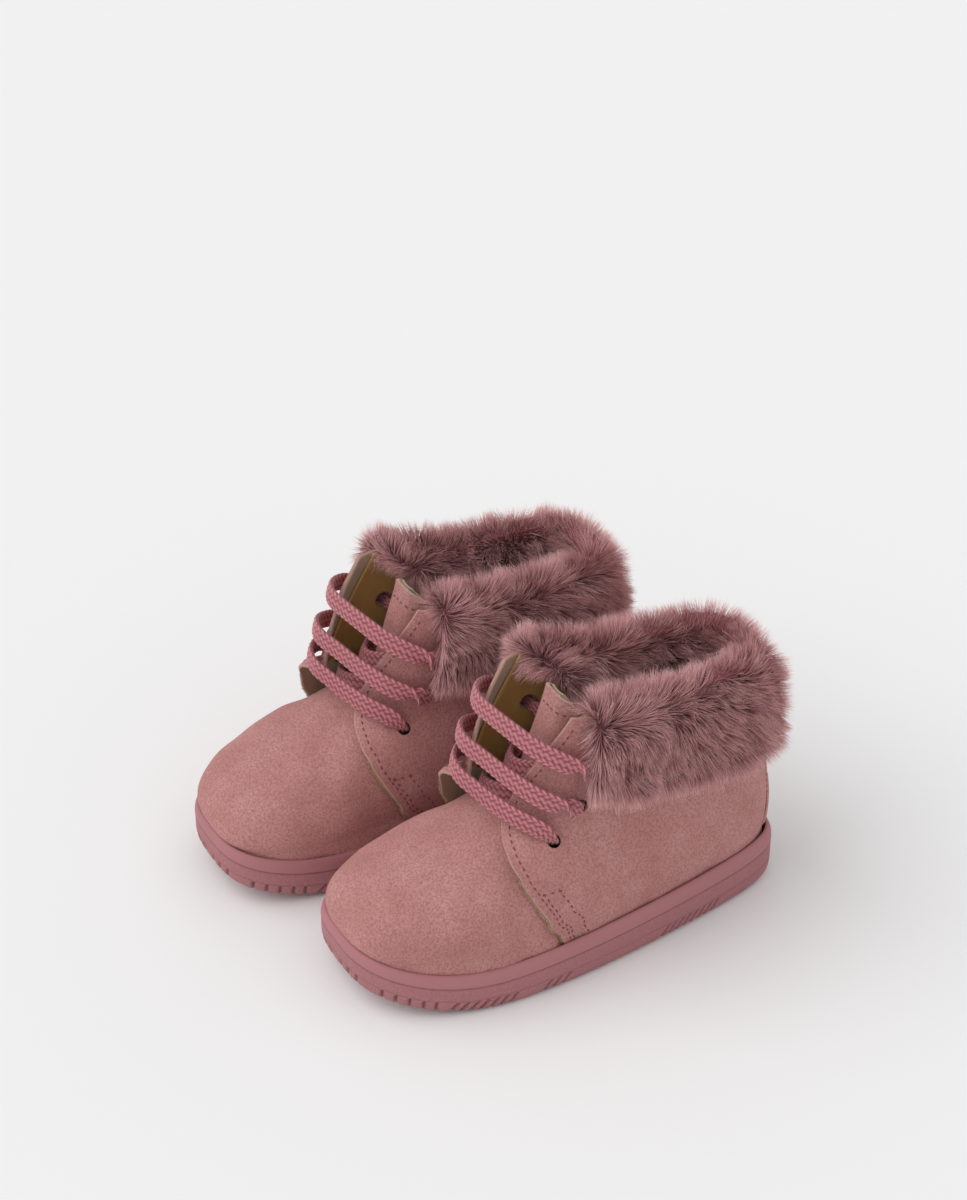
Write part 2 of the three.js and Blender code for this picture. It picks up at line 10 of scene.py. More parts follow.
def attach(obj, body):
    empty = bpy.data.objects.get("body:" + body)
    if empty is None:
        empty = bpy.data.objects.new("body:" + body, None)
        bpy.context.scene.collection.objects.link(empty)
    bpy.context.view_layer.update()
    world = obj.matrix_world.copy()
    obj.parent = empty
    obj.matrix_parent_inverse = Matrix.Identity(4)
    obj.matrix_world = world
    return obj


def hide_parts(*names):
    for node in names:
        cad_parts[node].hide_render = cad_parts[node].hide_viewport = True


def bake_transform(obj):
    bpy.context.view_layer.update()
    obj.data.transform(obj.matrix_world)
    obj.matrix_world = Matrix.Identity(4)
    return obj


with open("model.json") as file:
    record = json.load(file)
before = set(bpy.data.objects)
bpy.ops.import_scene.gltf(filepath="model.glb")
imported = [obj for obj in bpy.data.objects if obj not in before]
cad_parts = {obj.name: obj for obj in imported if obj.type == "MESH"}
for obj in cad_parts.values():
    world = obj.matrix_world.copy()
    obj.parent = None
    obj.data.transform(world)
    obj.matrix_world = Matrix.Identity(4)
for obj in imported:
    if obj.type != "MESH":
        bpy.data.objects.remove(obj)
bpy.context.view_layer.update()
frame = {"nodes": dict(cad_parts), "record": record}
mm = 0.001

# Each bootie: +1 as built or -1 mirrored, and where its centre line stands, from the sole mounts.
soleRests = {mount["name"]: mount["pos_m"] for mount in frame["record"]["mounts"]}
booties = {
    name: {
        "hand": hand,
        "origin": np.array(soleRests[f"{name}_sole_rest"]) - (0, 5 * mm, 0),
        "body": f"{name}_bootie",
        "tongueBody": f"{name}_tongue_flap",
    }
    for name, hand in (("left", 1), ("right", -1))
}

cameraPlace = {
    "turn": 1.0363,  # radians round the left bootie
    "rise": 0.7085,
    "distance": 779.42 * mm,
    "yaw": 0.0328,
    "pitch": -0.1126,
    "lens": 82.76,
    "sensor": 36,
}
studio = {
    "floor": "#F7F7F7",
    "floorRoughness": 0.9,
    "floorHalf": 9,
    "air": 0.67,
    "sunPower": 1.15,
    "sunSpread": 62,  # degrees, for soft shadows
    "sunFrom": (-0.3, -0.75, 0.95),
}


def placeObject(name, data):
    made = bpy.data.objects.new(name, data)
    bpy.context.collection.objects.link(made)
    return made


def toLinear(hexColour):
    values = [int(hexColour[n : n + 2], 16) / 255 for n in (1, 3, 5)]
    values = [v / 12.92 if v <= 0.04045 else ((v + 0.055) / 1.055) ** 2.4 for v in values]
    return (*values, 1)


def socketOf(sockets, key):
    if isinstance(key, int):
        return sockets[key]
    return next(socket for socket in sockets if socket.name == key and socket.enabled)


# A link is (node, output name or number), or a node alone for its first output in use, or a plain value.
def addNode(tree, kind, settings=None, links=None):
    node = tree.nodes.new(kind)
    for name, value in (settings or {}).items():
        setattr(node, name, value)
    for key, value in (links or {}).items():
        socket = socketOf(node.inputs, key)
        if isinstance(value, bpy.types.Node):
            tree.links.new(next(output for output in value.outputs if output.enabled), socket)
        elif isinstance(value, tuple) and isinstance(value[0], bpy.types.Node):
            tree.links.new(socketOf(value[0].outputs, value[1]), socket)
        else:
            socket.default_value = value
    return node


def directionAt(turn, rise):
    return Vector((math.sin(turn) * math.cos(rise), -math.cos(turn) * math.cos(rise), math.sin(rise)))


def makeCamera(place):
    camera = placeObject("viewCamera", bpy.data.cameras.new("viewCamera"))
    outwards = directionAt(place["turn"], place["rise"])
    camera.location = Vector(booties["left"]["origin"]) + outwards * place["distance"]
    turn = place["turn"] + place["yaw"]
    back = directionAt(turn, place["rise"] + place["pitch"])
    right = Vector((math.cos(turn), math.sin(turn), 0))
    camera.rotation_euler = Matrix((right, back.cross(right), back)).transposed().to_euler()
    camera.data.sensor_width = place["sensor"]
    camera.data.lens = place["lens"]
    camera.data.clip_start = 10 * mm
    bpy.context.scene.camera = camera


def newMaterial(name):
    material = bpy.data.materials.new(name)
    material.use_nodes = True
    return material, material.node_tree


def setShader(tree, settings):
    for key, value in settings.items():
        tree.nodes["Principled BSDF"].inputs[key].default_value = value


def makeStudio(look):
    half = look["floorHalf"]
    corners = [(-half, -half, 0), (half, -half, 0), (half, half, 0), (-half, half, 0)]
    mesh = bpy.data.meshes.new("studioFloor")
    mesh.from_pydata(corners, [], [(0, 1, 2, 3)])
    floor = placeObject("studioFloor", mesh)
    material, tree = newMaterial("mattPaper")
    setShader(tree, {"Base Color": toLinear(look["floor"]), "Roughness": look["floorRoughness"]})
    mesh.materials.append(material)
    world = bpy.data.worlds.new("softAir")
    world.use_nodes = True
    air = world.node_tree.nodes["Background"]
    air.inputs["Color"].default_value = (1, 1, 1, 1)
    air.inputs["Strength"].default_value = look["air"]
    bpy.context.scene.world = world
    sun = placeObject("softSun", bpy.data.lights.new("softSun", "SUN"))
    sun.data.energy = look["sunPower"]
    sun.data.angle = math.radians(look["sunSpread"])
    sun.rotation_euler = Vector(look["sunFrom"]).to_track_quat("Z", "Y").to_euler()


makeCamera(cameraPlace)
makeStudio(studio)
bpy.context.scene.view_settings.view_transform = "Standard"
print("camera, floor and light are in place")

# The shape that every layer follows, in millimetres, as the CAD source has it.
gap = 0.3
sole = {
    "length": 132, "foreWidth": 62, "heelWidth": 47, "toeRound": 0.62, "heelRound": 0.42,
    "toeCurve": 3.3, "curveShare": 0.34, "wallToe": 12, "wallHeel": 16, "toeSpring": 7,
    "springShare": 0.28, "lip": 1.8, "cupDepth": 5.5,
}
vampEnd = (0.26, 0.33)  # shares of the length where the flaps take over from the vamp as the outermost layer
# How far each layer's inner or outer face stands off the foot shape.
layers = {
    "vamp": 1.6, "vampFace": 2.7, "quarter": 3.25, "quarterFace": 4.35, "facing": 2.28, "facingFace": 2.98,
}
footShape = np.array([
    [10, 0, 0, 0, 0], [17, 0, 0, 0, 0], [20.5, -0.008, -0.004, -0.015, -0.02],
    [24, 0.01, -0.005, 0, -0.02], [27, 0.044, -0.004, 0.035, -0.015], [30.5, 0.112, -0.001, 0.085, 0],
    [34, 0.205, 0.003, 0.14, 0.01], [38, 0.292, 0.007, 0.205, 0.02], [42, 0.35, 0.012, 0.26, 0.035],
    [48, 0.376, 0.02, 0.315, 0.065], [56, 0.394, 0.028, 0.36, 0.105], [66, 0.416, 0.032, 0.41, 0.16],
    [76, 0.438, 0.034, 0.45, 0.21], [90, 0.46, 0.03, 0.47, 0.22],
])  # height, toe setback, heel setback, fore narrowing, heel narrowing
flapEdge = np.array([
    [10, 65.5], [14, 63.6], [19, 62.2], [22.5, 59.3], [26, 52.4], [29.2, 42.6], [32, 31], [35, 18.5],
    [38, 9.8], [41, 5], [44, 4], [52, 4.5], [62, 6], [74, 8], [82, 9],
])  # height, distance round from the middle of the throat


def mix(a, b, share):
    return a + (b - a) * share


def smooth(start, end, value):
    share = np.clip((value - start) / (end - start), 0, 1)
    return share * share * (3 - 2 * share)


def readTable(table, column, at):
    xs, ys = table[:, 0], table[:, column]
    slopes = np.diff(ys) / np.diff(xs)
    before, after = slopes[:-1], slopes[1:]
    same = before * after > 0
    middle = np.where(same, 2 * before * after / np.where(same, before + after, 1), 0)
    tangents = np.concatenate([[slopes[0]], middle, [slopes[-1]]])
    at = np.clip(np.asarray(at, float), xs[0], xs[-1])
    i = np.clip(np.searchsorted(xs, at, side="right") - 1, 0, len(xs) - 2)
    step = xs[i + 1] - xs[i]
    t = (at - xs[i]) / step
    return (
        (2 * t**3 - 3 * t**2 + 1) * ys[i] + (t**3 - 2 * t**2 + t) * step * tangents[i]
        + (-2 * t**3 + 3 * t**2) * ys[i + 1] + (t**3 - t**2) * step * tangents[i + 1]
    )


def shareOf(y):
    return np.clip((y + sole["length"] / 2) / sole["length"], 0, 1)


def springAt(y):
    return sole["toeSpring"] * np.clip((sole["springShare"] - shareOf(y)) / sole["springShare"], 0, 1) ** 2


def rimAt(y):
    return springAt(y) + mix(sole["wallToe"], sole["wallHeel"], shareOf(y))


def toeShiftAt(y):
    return -sole["toeCurve"] * np.clip(1 - shareOf(y) / sole["curveShare"], 0, 1) ** 2


def planPoint(turn, front, back, foreWidth, heelWidth, insetAt):
    angle = turn * 2 * np.pi
    share = (1 - np.cos(angle)) / 2
    power = mix(sole["toeRound"], sole["heelRound"], share)
    width = mix(foreWidth, heelWidth, share * share * (3 - 2 * share))
    sine = np.sin(angle)
    reach = np.where(np.abs(sine) < 1e-9, 0, np.abs(sine) ** power)
    y = mix(front, back, share)
    return np.sign(sine) * reach * (width / 2 - insetAt(shareOf(y))) + toeShiftAt(y), y


def upperInset(share):
    return sole["lip"] + gap + mix(layers["vampFace"], layers["quarterFace"], smooth(*vampEnd, share))


# The foot shape as a table: one outline each half millimetre of height, read between with straight steps.
outlineRise = 0.5
outlineHeights = np.arange(6, 94.01, outlineRise)
outlineSteps = 400
outlineTurns = 320


def outlineTable():
    turns = 0.5 * (np.arange(outlineTurns + 1) / outlineTurns) ** 1.5
    shares = np.linspace(0, 1, outlineSteps + 1)
    rows = []
    for height in outlineHeights:
        toeBack, heelBack, foreIn, heelIn = [readTable(footShape, n, height) for n in (1, 2, 3, 4)]
        front = upperInset(0) + (toeBack - 0.5) * sole["length"]
        back = (0.5 - heelBack) * sole["length"] - upperInset(1)
        foreWidth, heelWidth = sole["foreWidth"] * (1 - foreIn), sole["heelWidth"] * (1 - heelIn)
        x, y = planPoint(turns, front, back, foreWidth, heelWidth, upperInset)
        run = np.concatenate([[0], np.cumsum(np.hypot(np.diff(x), np.diff(y)))])
        rows.append((np.interp(shares * run[-1], run, x), np.interp(shares * run[-1], run, y), run[-1]))
    return [np.array(column) for column in zip(*rows)]


outlineX, outlineY, outlineGirth = outlineTable()


def girthAt(height):
    return np.interp(height, outlineHeights, outlineGirth)


def footPoint(height, around):
    height, around = np.broadcast_arrays(np.asarray(height, float), np.asarray(around, float))
    row = np.clip((height - outlineHeights[0]) / outlineRise, 0, len(outlineHeights) - 1.001)
    col = np.clip(np.abs(around) / girthAt(height), 0, 1) * outlineSteps
    col = np.minimum(col, outlineSteps - 1e-6)
    i, j = row.astype(int), col.astype(int)
    u, v = row - i, col - j

    def read(grid):
        below = grid[i, j] * (1 - v) + grid[i, j + 1] * v
        above = grid[i + 1, j] * (1 - v) + grid[i + 1, j + 1] * v
        return below * (1 - u) + above * u

    x, y = read(outlineX), read(outlineY)
    x = np.where(around < 0, 2 * toeShiftAt(y) - x, x)
    return np.stack([x, y, height], -1)


# The way the foot shape faces, from places a little to each side, above and below.
def outward(height, around):
    height, around = np.broadcast_arrays(np.asarray(height, float), np.asarray(around, float))
    along, up = 1.2, 0.8
    girth = girthAt(height) - along
    middle = np.clip(around, -girth, girth)
    across = footPoint(height, middle + along) - footPoint(height, middle - along)
    rise = footPoint(height + up, middle) - footPoint(height - up, middle)
    normal = np.cross(across, rise)
    normal /= np.linalg.norm(normal, axis=-1, keepdims=True)
    fade = np.clip((girthAt(height) - np.abs(around)) / along, 0, 1)
    normal[..., 0] = np.where(np.abs(around) > girth, normal[..., 0] * fade, normal[..., 0])
    return normal / np.linalg.norm(normal, axis=-1, keepdims=True)


def skin(height, around, depth):
    return footPoint(height, around) + outward(height, around) * np.asarray(depth, float)[..., None]


def edgeAt(height):
    return readTable(flapEdge, 1, height)


# The lower edge of the suede, on the floor of the sole's cup.
def footEdge(around):
    wallHeight = 18
    return rimAt(skin(wallHeight, around, layers["vampFace"])[..., 1]) - sole["cupDepth"] + gap


# How far the near and the far flap stand off the tongue, over what width, and from what height up.
flare = {"near": 2.6, "far": 9.0, "width": 24, "start": 28, "full": 37}


def liftAt(height, around, side):
    amount = flare["near"] if side > 0 else flare["far"]
    share = np.clip(1 - (np.abs(around) - edgeAt(height)) / flare["width"], 0, 1)
    return amount * share * share * (3 - 2 * share) * smooth(flare["start"], flare["full"], height)


def softNoise(points, size, seed):
    rng = np.random.default_rng(seed)
    total = np.zeros(points.shape[:-1])
    waves = 9
    for _ in range(waves):
        wave = rng.normal(size=3)
        wave *= rng.uniform(0.6, 1.6) * 2 * np.pi / size / np.linalg.norm(wave)
        total += np.sin(points @ wave + rng.uniform(0, 2 * np.pi))
    return total / (waves / 2)


def standing(points, bootie, mirrored=True):
    hand = bootie["hand"] if mirrored else 1
    return points * np.array([hand, 1, 1]) * mm + bootie["origin"]


def setAttribute(mesh, key, values, kind="FLOAT"):
    data = mesh.attributes.new(key, kind, "POINT").data
    data.foreach_set("value" if kind == "FLOAT" else "vector", np.asarray(values, np.float32).ravel())


# Quads only; the faces are turned round if they enclose a negative volume.
def makeObject(name, points, faces, material, attributes):
    mesh = bpy.data.meshes.new(name)
    points = np.asarray(points, float).reshape(-1, 3)
    faces = np.asarray(faces, int)
    corners = points[faces]
    volume = np.einsum("ij,ij->i", corners[:, 0], np.cross(corners[:, 1], corners[:, 2])).sum()
    volume += np.einsum("ij,ij->i", corners[:, 0], np.cross(corners[:, 2], corners[:, 3])).sum()
    if volume < 0:
        faces = faces[:, ::-1]
    mesh.from_pydata(points.tolist(), [], faces.tolist())
    mesh.shade_smooth()
    for key, values in attributes.items():
        setAttribute(mesh, key, values)
    mesh.materials.append(material)
    return placeObject(name, mesh)


def gridQuads(rows, columns, start=0, closed=False):
    i = np.arange(rows - 1)[:, None] * columns
    j = np.arange(columns if closed else columns - 1)[None, :]
    a, b = i + j, i + (j + 1) % columns
    return np.stack([a, b, b + columns, a + columns], -1).reshape(-1, 4) + start


# A sheet with thickness and a rolled edge, from its outer and inner grids of points.
def sheetFaces(rows, columns):
    count = rows * columns
    outer = gridQuads(rows, columns)
    inner = gridQuads(rows, columns, count)[:, ::-1]
    rim = np.concatenate([
        np.arange(columns), np.arange(1, rows) * columns + columns - 1,
        (rows - 1) * columns + np.arange(columns - 2, -1, -1), np.arange(rows - 2, 0, -1) * columns,
    ])
    middle = 2 * count + np.arange(len(rim))
    following = np.roll(np.arange(len(rim)), -1)
    upperBand = np.stack([rim, middle, middle[following], rim[following]], -1)
    lowerBand = np.stack([middle, rim + count, rim[following] + count, middle[following]], -1)
    return np.concatenate([outer, inner, upperBand, lowerBand]), rim


def makeSheet(name, outer, inner, bootie, material, roll, attributes=None):
    rows, columns = outer.shape[:2]
    faces, rim = sheetFaces(rows, columns)
    flatOuter, flatInner = outer.reshape(-1, 3), inner.reshape(-1, 3)
    i, j = rim // columns, rim % columns
    nearI, nearJ = np.clip(i, 1, rows - 2), np.clip(j, 1, columns - 2)
    away = outer[i, j] - outer[nearI, nearJ]
    away /= np.maximum(np.linalg.norm(away, axis=-1, keepdims=True), 1e-6)
    middle = (flatOuter[rim] + flatInner[rim]) / 2 + away * roll
    points = np.concatenate([flatOuter, flatInner, middle])
    values = {"innerFace": np.repeat([0, 1, 0.5], [len(flatOuter), len(flatInner), len(rim)])}
    for key, grid in (attributes or {}).items():
        flat = grid.reshape(-1)
        values[key] = np.concatenate([flat, flat, flat[rim]])
    return makeObject(name, standing(points, bootie), faces, material, values)


suedeLook = {
    "lit": "#CB9793", "base": "#C28A86", "low": "#B8817C", "fibre": "#94605D", "cut": "#C4A993",
    "felt": "#B09B85", "sheen": "#E6C4C0", "patch": 14 * mm, "grain": 0.62 * mm, "nap": 0.5 * mm,
}


# Joins a finished colour and bump to the material's shader and sets the rest of its values.
def dressShader(tree, colour, bump, settings):
    shader = tree.nodes["Principled BSDF"]
    tree.links.new(socketOf(colour.outputs, "Result"), shader.inputs["Base Color"])
    if bump:
        tree.links.new(bump.outputs["Normal"], shader.inputs["Normal"])
    setShader(tree, settings)


# Split-hide suede: brushed nap in soft lighter and darker patches, fine speckle, no shine, a faint edge glow.
def suedeMaterial(look):
    material, tree = newMaterial("brushedSuede")
    place = (addNode(tree, "ShaderNodeTexCoord"), "Object")
    patches = addNode(tree, "ShaderNodeTexNoise", None, {
        "Vector": place, "Scale": 1 / look["patch"], "Detail": 5.0, "Roughness": 0.6})
    ramp = addNode(tree, "ShaderNodeValToRGB", None, {"Fac": (patches, "Fac")})
    ramp.color_ramp.elements[0].position, ramp.color_ramp.elements[1].position = 0.32, 0.7
    ramp.color_ramp.elements[0].color = toLinear(look["low"])
    ramp.color_ramp.elements[1].color = toLinear(look["lit"])
    ramp.color_ramp.elements.new(0.5).color = toLinear(look["base"])
    grain = addNode(tree, "ShaderNodeTexNoise", None, {
        "Vector": place, "Scale": 1 / look["grain"], "Detail": 2.0, "Roughness": 0.7})
    speckle = addNode(tree, "ShaderNodeMapRange", None, {
        "Value": (grain, "Fac"), "From Min": 0.36, "From Max": 0.6, "To Min": 0.62, "To Max": 0.0})
    colour = addNode(tree, "ShaderNodeMix", {"data_type": "RGBA"}, {
        "Factor": (speckle, "Result"), "A": (ramp, "Color"), "B": toLinear(look["fibre"])})
    # the flesh side is felted, and a cut edge shows the paler middle of the hide
    for key, shade in (("innerFace", "felt"), ("rawEdge", "cut")):
        amount = addNode(tree, "ShaderNodeAttribute", {"attribute_name": key})
        colour = addNode(tree, "ShaderNodeMix", {"data_type": "RGBA"}, {
            "Factor": (amount, "Fac"), "A": (colour, "Result"), "B": toLinear(look[shade])})
    nap = addNode(tree, "ShaderNodeTexNoise", None, {
        "Vector": place, "Scale": 1 / look["nap"], "Detail": 3.0, "Roughness": 0.65})
    bump = addNode(tree, "ShaderNodeBump", None, {
        "Height": (nap, "Fac"), "Strength": 0.55, "Distance": 0.35 * mm})
    dressShader(tree, colour, bump, {
        "Roughness": 0.95, "IOR": 1.45, "Specular IOR Level": 0.15,
        "Sheen Weight": 0.25, "Sheen Roughness": 0.5, "Sheen Tint": toLinear(look["sheen"])})
    return material


# the cut colour is painted shade in the cuts and grooves; the darker stipple colour is painted shade in its
# pits
rubberLook = {
    "base": "#B77B7F", "dark": "#A97074", "pitShade": "#955F64", "cut": "#6B4146",
    "grit": 0.6 * mm, "stain": 22 * mm,
}


# Moulded thermoplastic rubber: satin band at the rim, a spark-eroded (finely stippled) wall under it, with
# painted shade in the stipple's pits and in the cuts and grooves.
def rubberMaterial(look):
    material, tree = newMaterial("mouldedRubber")
    place = (addNode(tree, "ShaderNodeTexCoord"), "Object")
    wall = addNode(tree, "ShaderNodeAttribute", {"attribute_name": "wallShare"})
    stain = addNode(tree, "ShaderNodeTexNoise", None, {
        "Vector": place, "Scale": 1 / look["stain"], "Detail": 3.0, "Roughness": 0.5})
    tone = addNode(tree, "ShaderNodeMix", {"data_type": "RGBA"}, {
        "Factor": (stain, "Fac"), "A": toLinear(look["dark"]), "B": toLinear(look["base"])})
    lower = addNode(tree, "ShaderNodeMapRange", None, {
        "Value": (wall, "Fac"), "From Min": 0.66, "From Max": 0.7, "To Min": 1.0, "To Max": 0.0})
    grit = addNode(tree, "ShaderNodeTexNoise", None, {
        "Vector": place, "Scale": 1 / look["grit"], "Detail": 2.0, "Roughness": 0.6})
    # painted shade: the stipple's low pits are painted darker, by the same noise as its bump
    gritShade = addNode(tree, "ShaderNodeMapRange", None, {
        "Value": (grit, "Fac"), "From Min": 0.4, "From Max": 0.65, "To Min": 0.45, "To Max": 0.0})
    gritAmount = addNode(tree, "ShaderNodeMath", {"operation": "MULTIPLY"}, {
        0: (lower, "Result"), 1: (gritShade, "Result")})
    stippled = addNode(tree, "ShaderNodeMix", {"data_type": "RGBA"}, {
        "Factor": (gritAmount, "Value"), "A": (tone, "Result"), "B": toLinear(look["pitShade"])})
    height = addNode(tree, "ShaderNodeMath", {"operation": "MULTIPLY"}, {
        0: (grit, "Fac"), 1: (lower, "Result")})
    bump = addNode(tree, "ShaderNodeBump", None, {
        "Height": (height, "Value"), "Strength": 0.5, "Distance": 0.3 * mm})
    # painted shade: the cuts between the lugs and the grooves are painted darker
    cut = addNode(tree, "ShaderNodeAttribute", {"attribute_name": "cutShade"})
    shaded = addNode(tree, "ShaderNodeMix", {"data_type": "RGBA"}, {
        "Factor": (cut, "Fac"), "A": (stippled, "Result"), "B": toLinear(look["cut"])})
    dressShader(tree, shaded, bump, {"Roughness": 0.62, "IOR": 1.5, "Specular IOR Level": 0.35})
    return material


# the colours from ribs to gaps run light to dark as painted highlight and shade; the darkest is painted shade
# at the eyelets
laceLook = {"rib": "#CF8489", "base": "#BF7278", "valleyShade": "#7C3F49", "tip": "#4A2830", "fuzz": 0.3 * mm}


# Polyester braid: painted highlight on the raised rounded ribs and painted shade in the gaps between them,
# painted shade where the lace runs into an eyelet.
def laceMaterial(look):
    material, tree = newMaterial("braidedPolyester")
    place = (addNode(tree, "ShaderNodeTexCoord"), "Object")
    rib = addNode(tree, "ShaderNodeAttribute", {"attribute_name": "ribHeight"})
    # painted highlight and shade: the colour follows the ribs' height, dark in the gaps, light on top
    ramp = addNode(tree, "ShaderNodeValToRGB", None, {"Fac": (rib, "Fac")})
    ramp.color_ramp.elements[0].color = toLinear(look["valleyShade"])
    ramp.color_ramp.elements[1].color = toLinear(look["rib"])
    ramp.color_ramp.elements.new(0.5).color = toLinear(look["base"])
    # painted shade near the eyelets, in the darkest colour
    eyeletShadeAmount = addNode(tree, "ShaderNodeAttribute", {"attribute_name": "eyeletShade"})
    darker = addNode(tree, "ShaderNodeMix", {"data_type": "RGBA"}, {
        "Factor": (eyeletShadeAmount, "Fac"), "A": (ramp, "Color"), "B": toLinear(look["tip"])})
    fuzz = addNode(tree, "ShaderNodeTexNoise", None, {
        "Vector": place, "Scale": 1 / look["fuzz"], "Detail": 2.0, "Roughness": 0.6})
    bump = addNode(tree, "ShaderNodeBump", None, {
        "Height": (fuzz, "Fac"), "Strength": 0.35, "Distance": 0.15 * mm})
    dressShader(tree, darker, bump, {"Roughness": 0.7, "Sheen Weight": 0.2})
    return material


furLook = {"root": "#7A464D", "middle": "#BD7D80", "tip": "#EBB5B4", "pale": "#F6CFCC"}


# Acrylic pile: dark at the backing, paler towards the tips, each fibre a little different.
def furMaterial(look):
    material, tree = newMaterial("acrylicPile")
    along = addNode(tree, "ShaderNodeAttribute", {"attribute_name": "tipShare"})
    shade = addNode(tree, "ShaderNodeAttribute", {"attribute_name": "strandShade"})
    ramp = addNode(tree, "ShaderNodeValToRGB", None, {"Fac": (along, "Fac")})
    ramp.color_ramp.elements[0].position = 0.12
    ramp.color_ramp.elements[0].color = toLinear(look["root"])
    ramp.color_ramp.elements[1].color = toLinear(look["tip"])
    ramp.color_ramp.elements.new(0.6).color = toLinear(look["middle"])
    paleness = addNode(tree, "ShaderNodeMath", {"operation": "MULTIPLY"}, {
        0: (along, "Fac"), 1: (shade, "Fac")})
    colour = addNode(tree, "ShaderNodeMix", {"data_type": "RGBA"}, {
        "Factor": (paleness, "Value"), "A": (ramp, "Color"), "B": toLinear(look["pale"])})
    dressShader(tree, colour, None, {"Roughness": 0.75, "Specular IOR Level": 0.2, "Sheen Weight": 0.15})
    return material


# A plain stuff with two-tone mottling and a fine raised texture: felt, board, lining hide, thread or plastic.
def mottledMaterial(name, base, other, size, bumpSize, bumpStrength, roughness, specular=0.3):
    material, tree = newMaterial(name)
    place = (addNode(tree, "ShaderNodeTexCoord"), "Object")
    patches = addNode(tree, "ShaderNodeTexNoise", None, {
        "Vector": place, "Scale": 1 / size, "Detail": 4.0, "Roughness": 0.6})
    tone = addNode(tree, "ShaderNodeMix", {"data_type": "RGBA"}, {
        "Factor": (patches, "Fac"), "A": toLinear(base), "B": toLinear(other)})
    texture = addNode(tree, "ShaderNodeTexNoise", None, {
        "Vector": place, "Scale": 1 / bumpSize, "Detail": 3.0, "Roughness": 0.6})
    bump = addNode(tree, "ShaderNodeBump", None, {
        "Height": (texture, "Fac"), "Strength": bumpStrength, "Distance": 0.3 * mm})
    dressShader(tree, tone, bump, {"Roughness": roughness, "Specular IOR Level": specular})
    return material


brushedSuede = suedeMaterial(suedeLook)
mouldedRubber = rubberMaterial(rubberLook)
braidedPolyester = laceMaterial(laceLook)
acrylicPile = furMaterial(furLook)
tanLining = mottledMaterial("smoothLiningHide", "#A27E4B", "#B8935A", 5 * mm, 0.8 * mm, 0.3, 0.6)
woolFelt = mottledMaterial("woolFelt", "#A08C77", "#B8A48E", 2.5 * mm, 0.5 * mm, 0.6, 0.98, 0.1)
bondedThread = mottledMaterial("bondedPolyesterThread", "#7C3F4B", "#93505C", 2 * mm, 0.3 * mm, 0.4, 0.6)
fibreBoard = mottledMaterial("celluloseBoard", "#A98F70", "#BCA384", 3 * mm, 0.5 * mm, 0.4, 0.9)
lacquerTip = mottledMaterial("acetateTip", "#6E3843", "#7E4450", 3 * mm, 1.5 * mm, 0.1, 0.35, 0.5)
fleshFibre = mottledMaterial("fleshSideFibre", "#C9AE92", "#B79C80", 1.5 * mm, 0.4 * mm, 0.2, 0.95, 0.1)
knitBacking = mottledMaterial("knittedPileBacking", "#7A464D", "#8A585C", 2 * mm, 0.7 * mm, 0.6, 0.95, 0.1)
print("materials are ready")

lace = {
    "width": 5.5, "thickness": 1.5, "ringStep": 0.3, "around": 40,
    "sideRound": 0.75, "faceFlat": 0.6,  # powers of the section's outline
    "columns": 6, "ribPitch": 2.0, "ribHeight": 0.42,
    "eyeletWidth": 3.3, "squeezeFrom": 6.4, "squeezeTo": 2.4,  # how it narrows towards an eyelet
    # how far from an eyelet the painted shade fades in, and how dark it is painted
    "shadeFrom": 2.6, "shadeTo": 0.8, "shade": 0.75,
}
eyeletRows = [(39, 12), (49.5, 13.5), (60, 12)]  # height, distance behind the flap's edge
laceRoute = np.array([
    [9.5, 38, 16.5], [11, 24, 16.5], [12.5, 12, 18.5], [13.5, 3, 25], [13.5, -4, 32],
    [13.5, -8.5, 37.5],
    [16, -10, 41], [18, -11, 43], [18.5, -12.5, 45.5], [17, -15, 48], [12.5, -19, 50], [4.5, -22.5, 51.5],
    [-1, -24.5, 53], [-6.5, -26, 54], [-12, -25, 54], [-17, -21.5, 53], [-21, -16.5, 50.5],
    [-21.5, -13, 47.5],
    [-20, -11.5, 45], [-18.5, -11, 43], [-16, -12.5, 43.5], [-12.5, -15.5, 45], [-7.5, -18, 47],
    [-1, -17.5, 49], [4.5, -13.5, 50], [8.5, -8.5, 50.5], [11.5, -4, 50], [14.5, -1, 50],
    [17, -2, 50.5], [19, -3.5, 51.5], [19, -8, 54], [15.5, -13.5, 56.5], [7.5, -18, 59], [-1, -21, 61],
    [-9.5, -23, 62], [-15, -21.5, 61.5], [-20, -17, 59], [-23, -10, 55.5], [-22, -4.5, 52.5],
    [-19.5, -2.5, 51], [-17, -2, 50.5], [-14, -4, 51], [-10.5, -8, 53], [-5.5, -11.5, 54.5], [0, -12.5, 56],
    [5, -10, 57.5], [9, -5, 59], [11, 0, 60], [13.5, 2.5, 60.5], [16.5, 2, 61], [18.5, 0.5, 62],
    [19, -3, 64.5], [16, -8.5, 67.5], [11, -12.5, 69.5], [4, -15.5, 71.5], [-4, -17.5, 72.5],
    [-11, -18, 72.5],
    [-17, -15.5, 71.5], [-21.5, -10, 69], [-23, -4.5, 65.5], [-22, -0.5, 63], [-19.5, 1.5, 61.5],
    [-17, 2, 61], [-13.5, 3.5, 60], [-11.5, 6, 57], [-11.5, 8, 51], [-12.5, 9, 42], [-13, 11, 32],
    [-12, 16, 22], [-11, 24, 16.5], [-9.5, 38, 16.5],
])


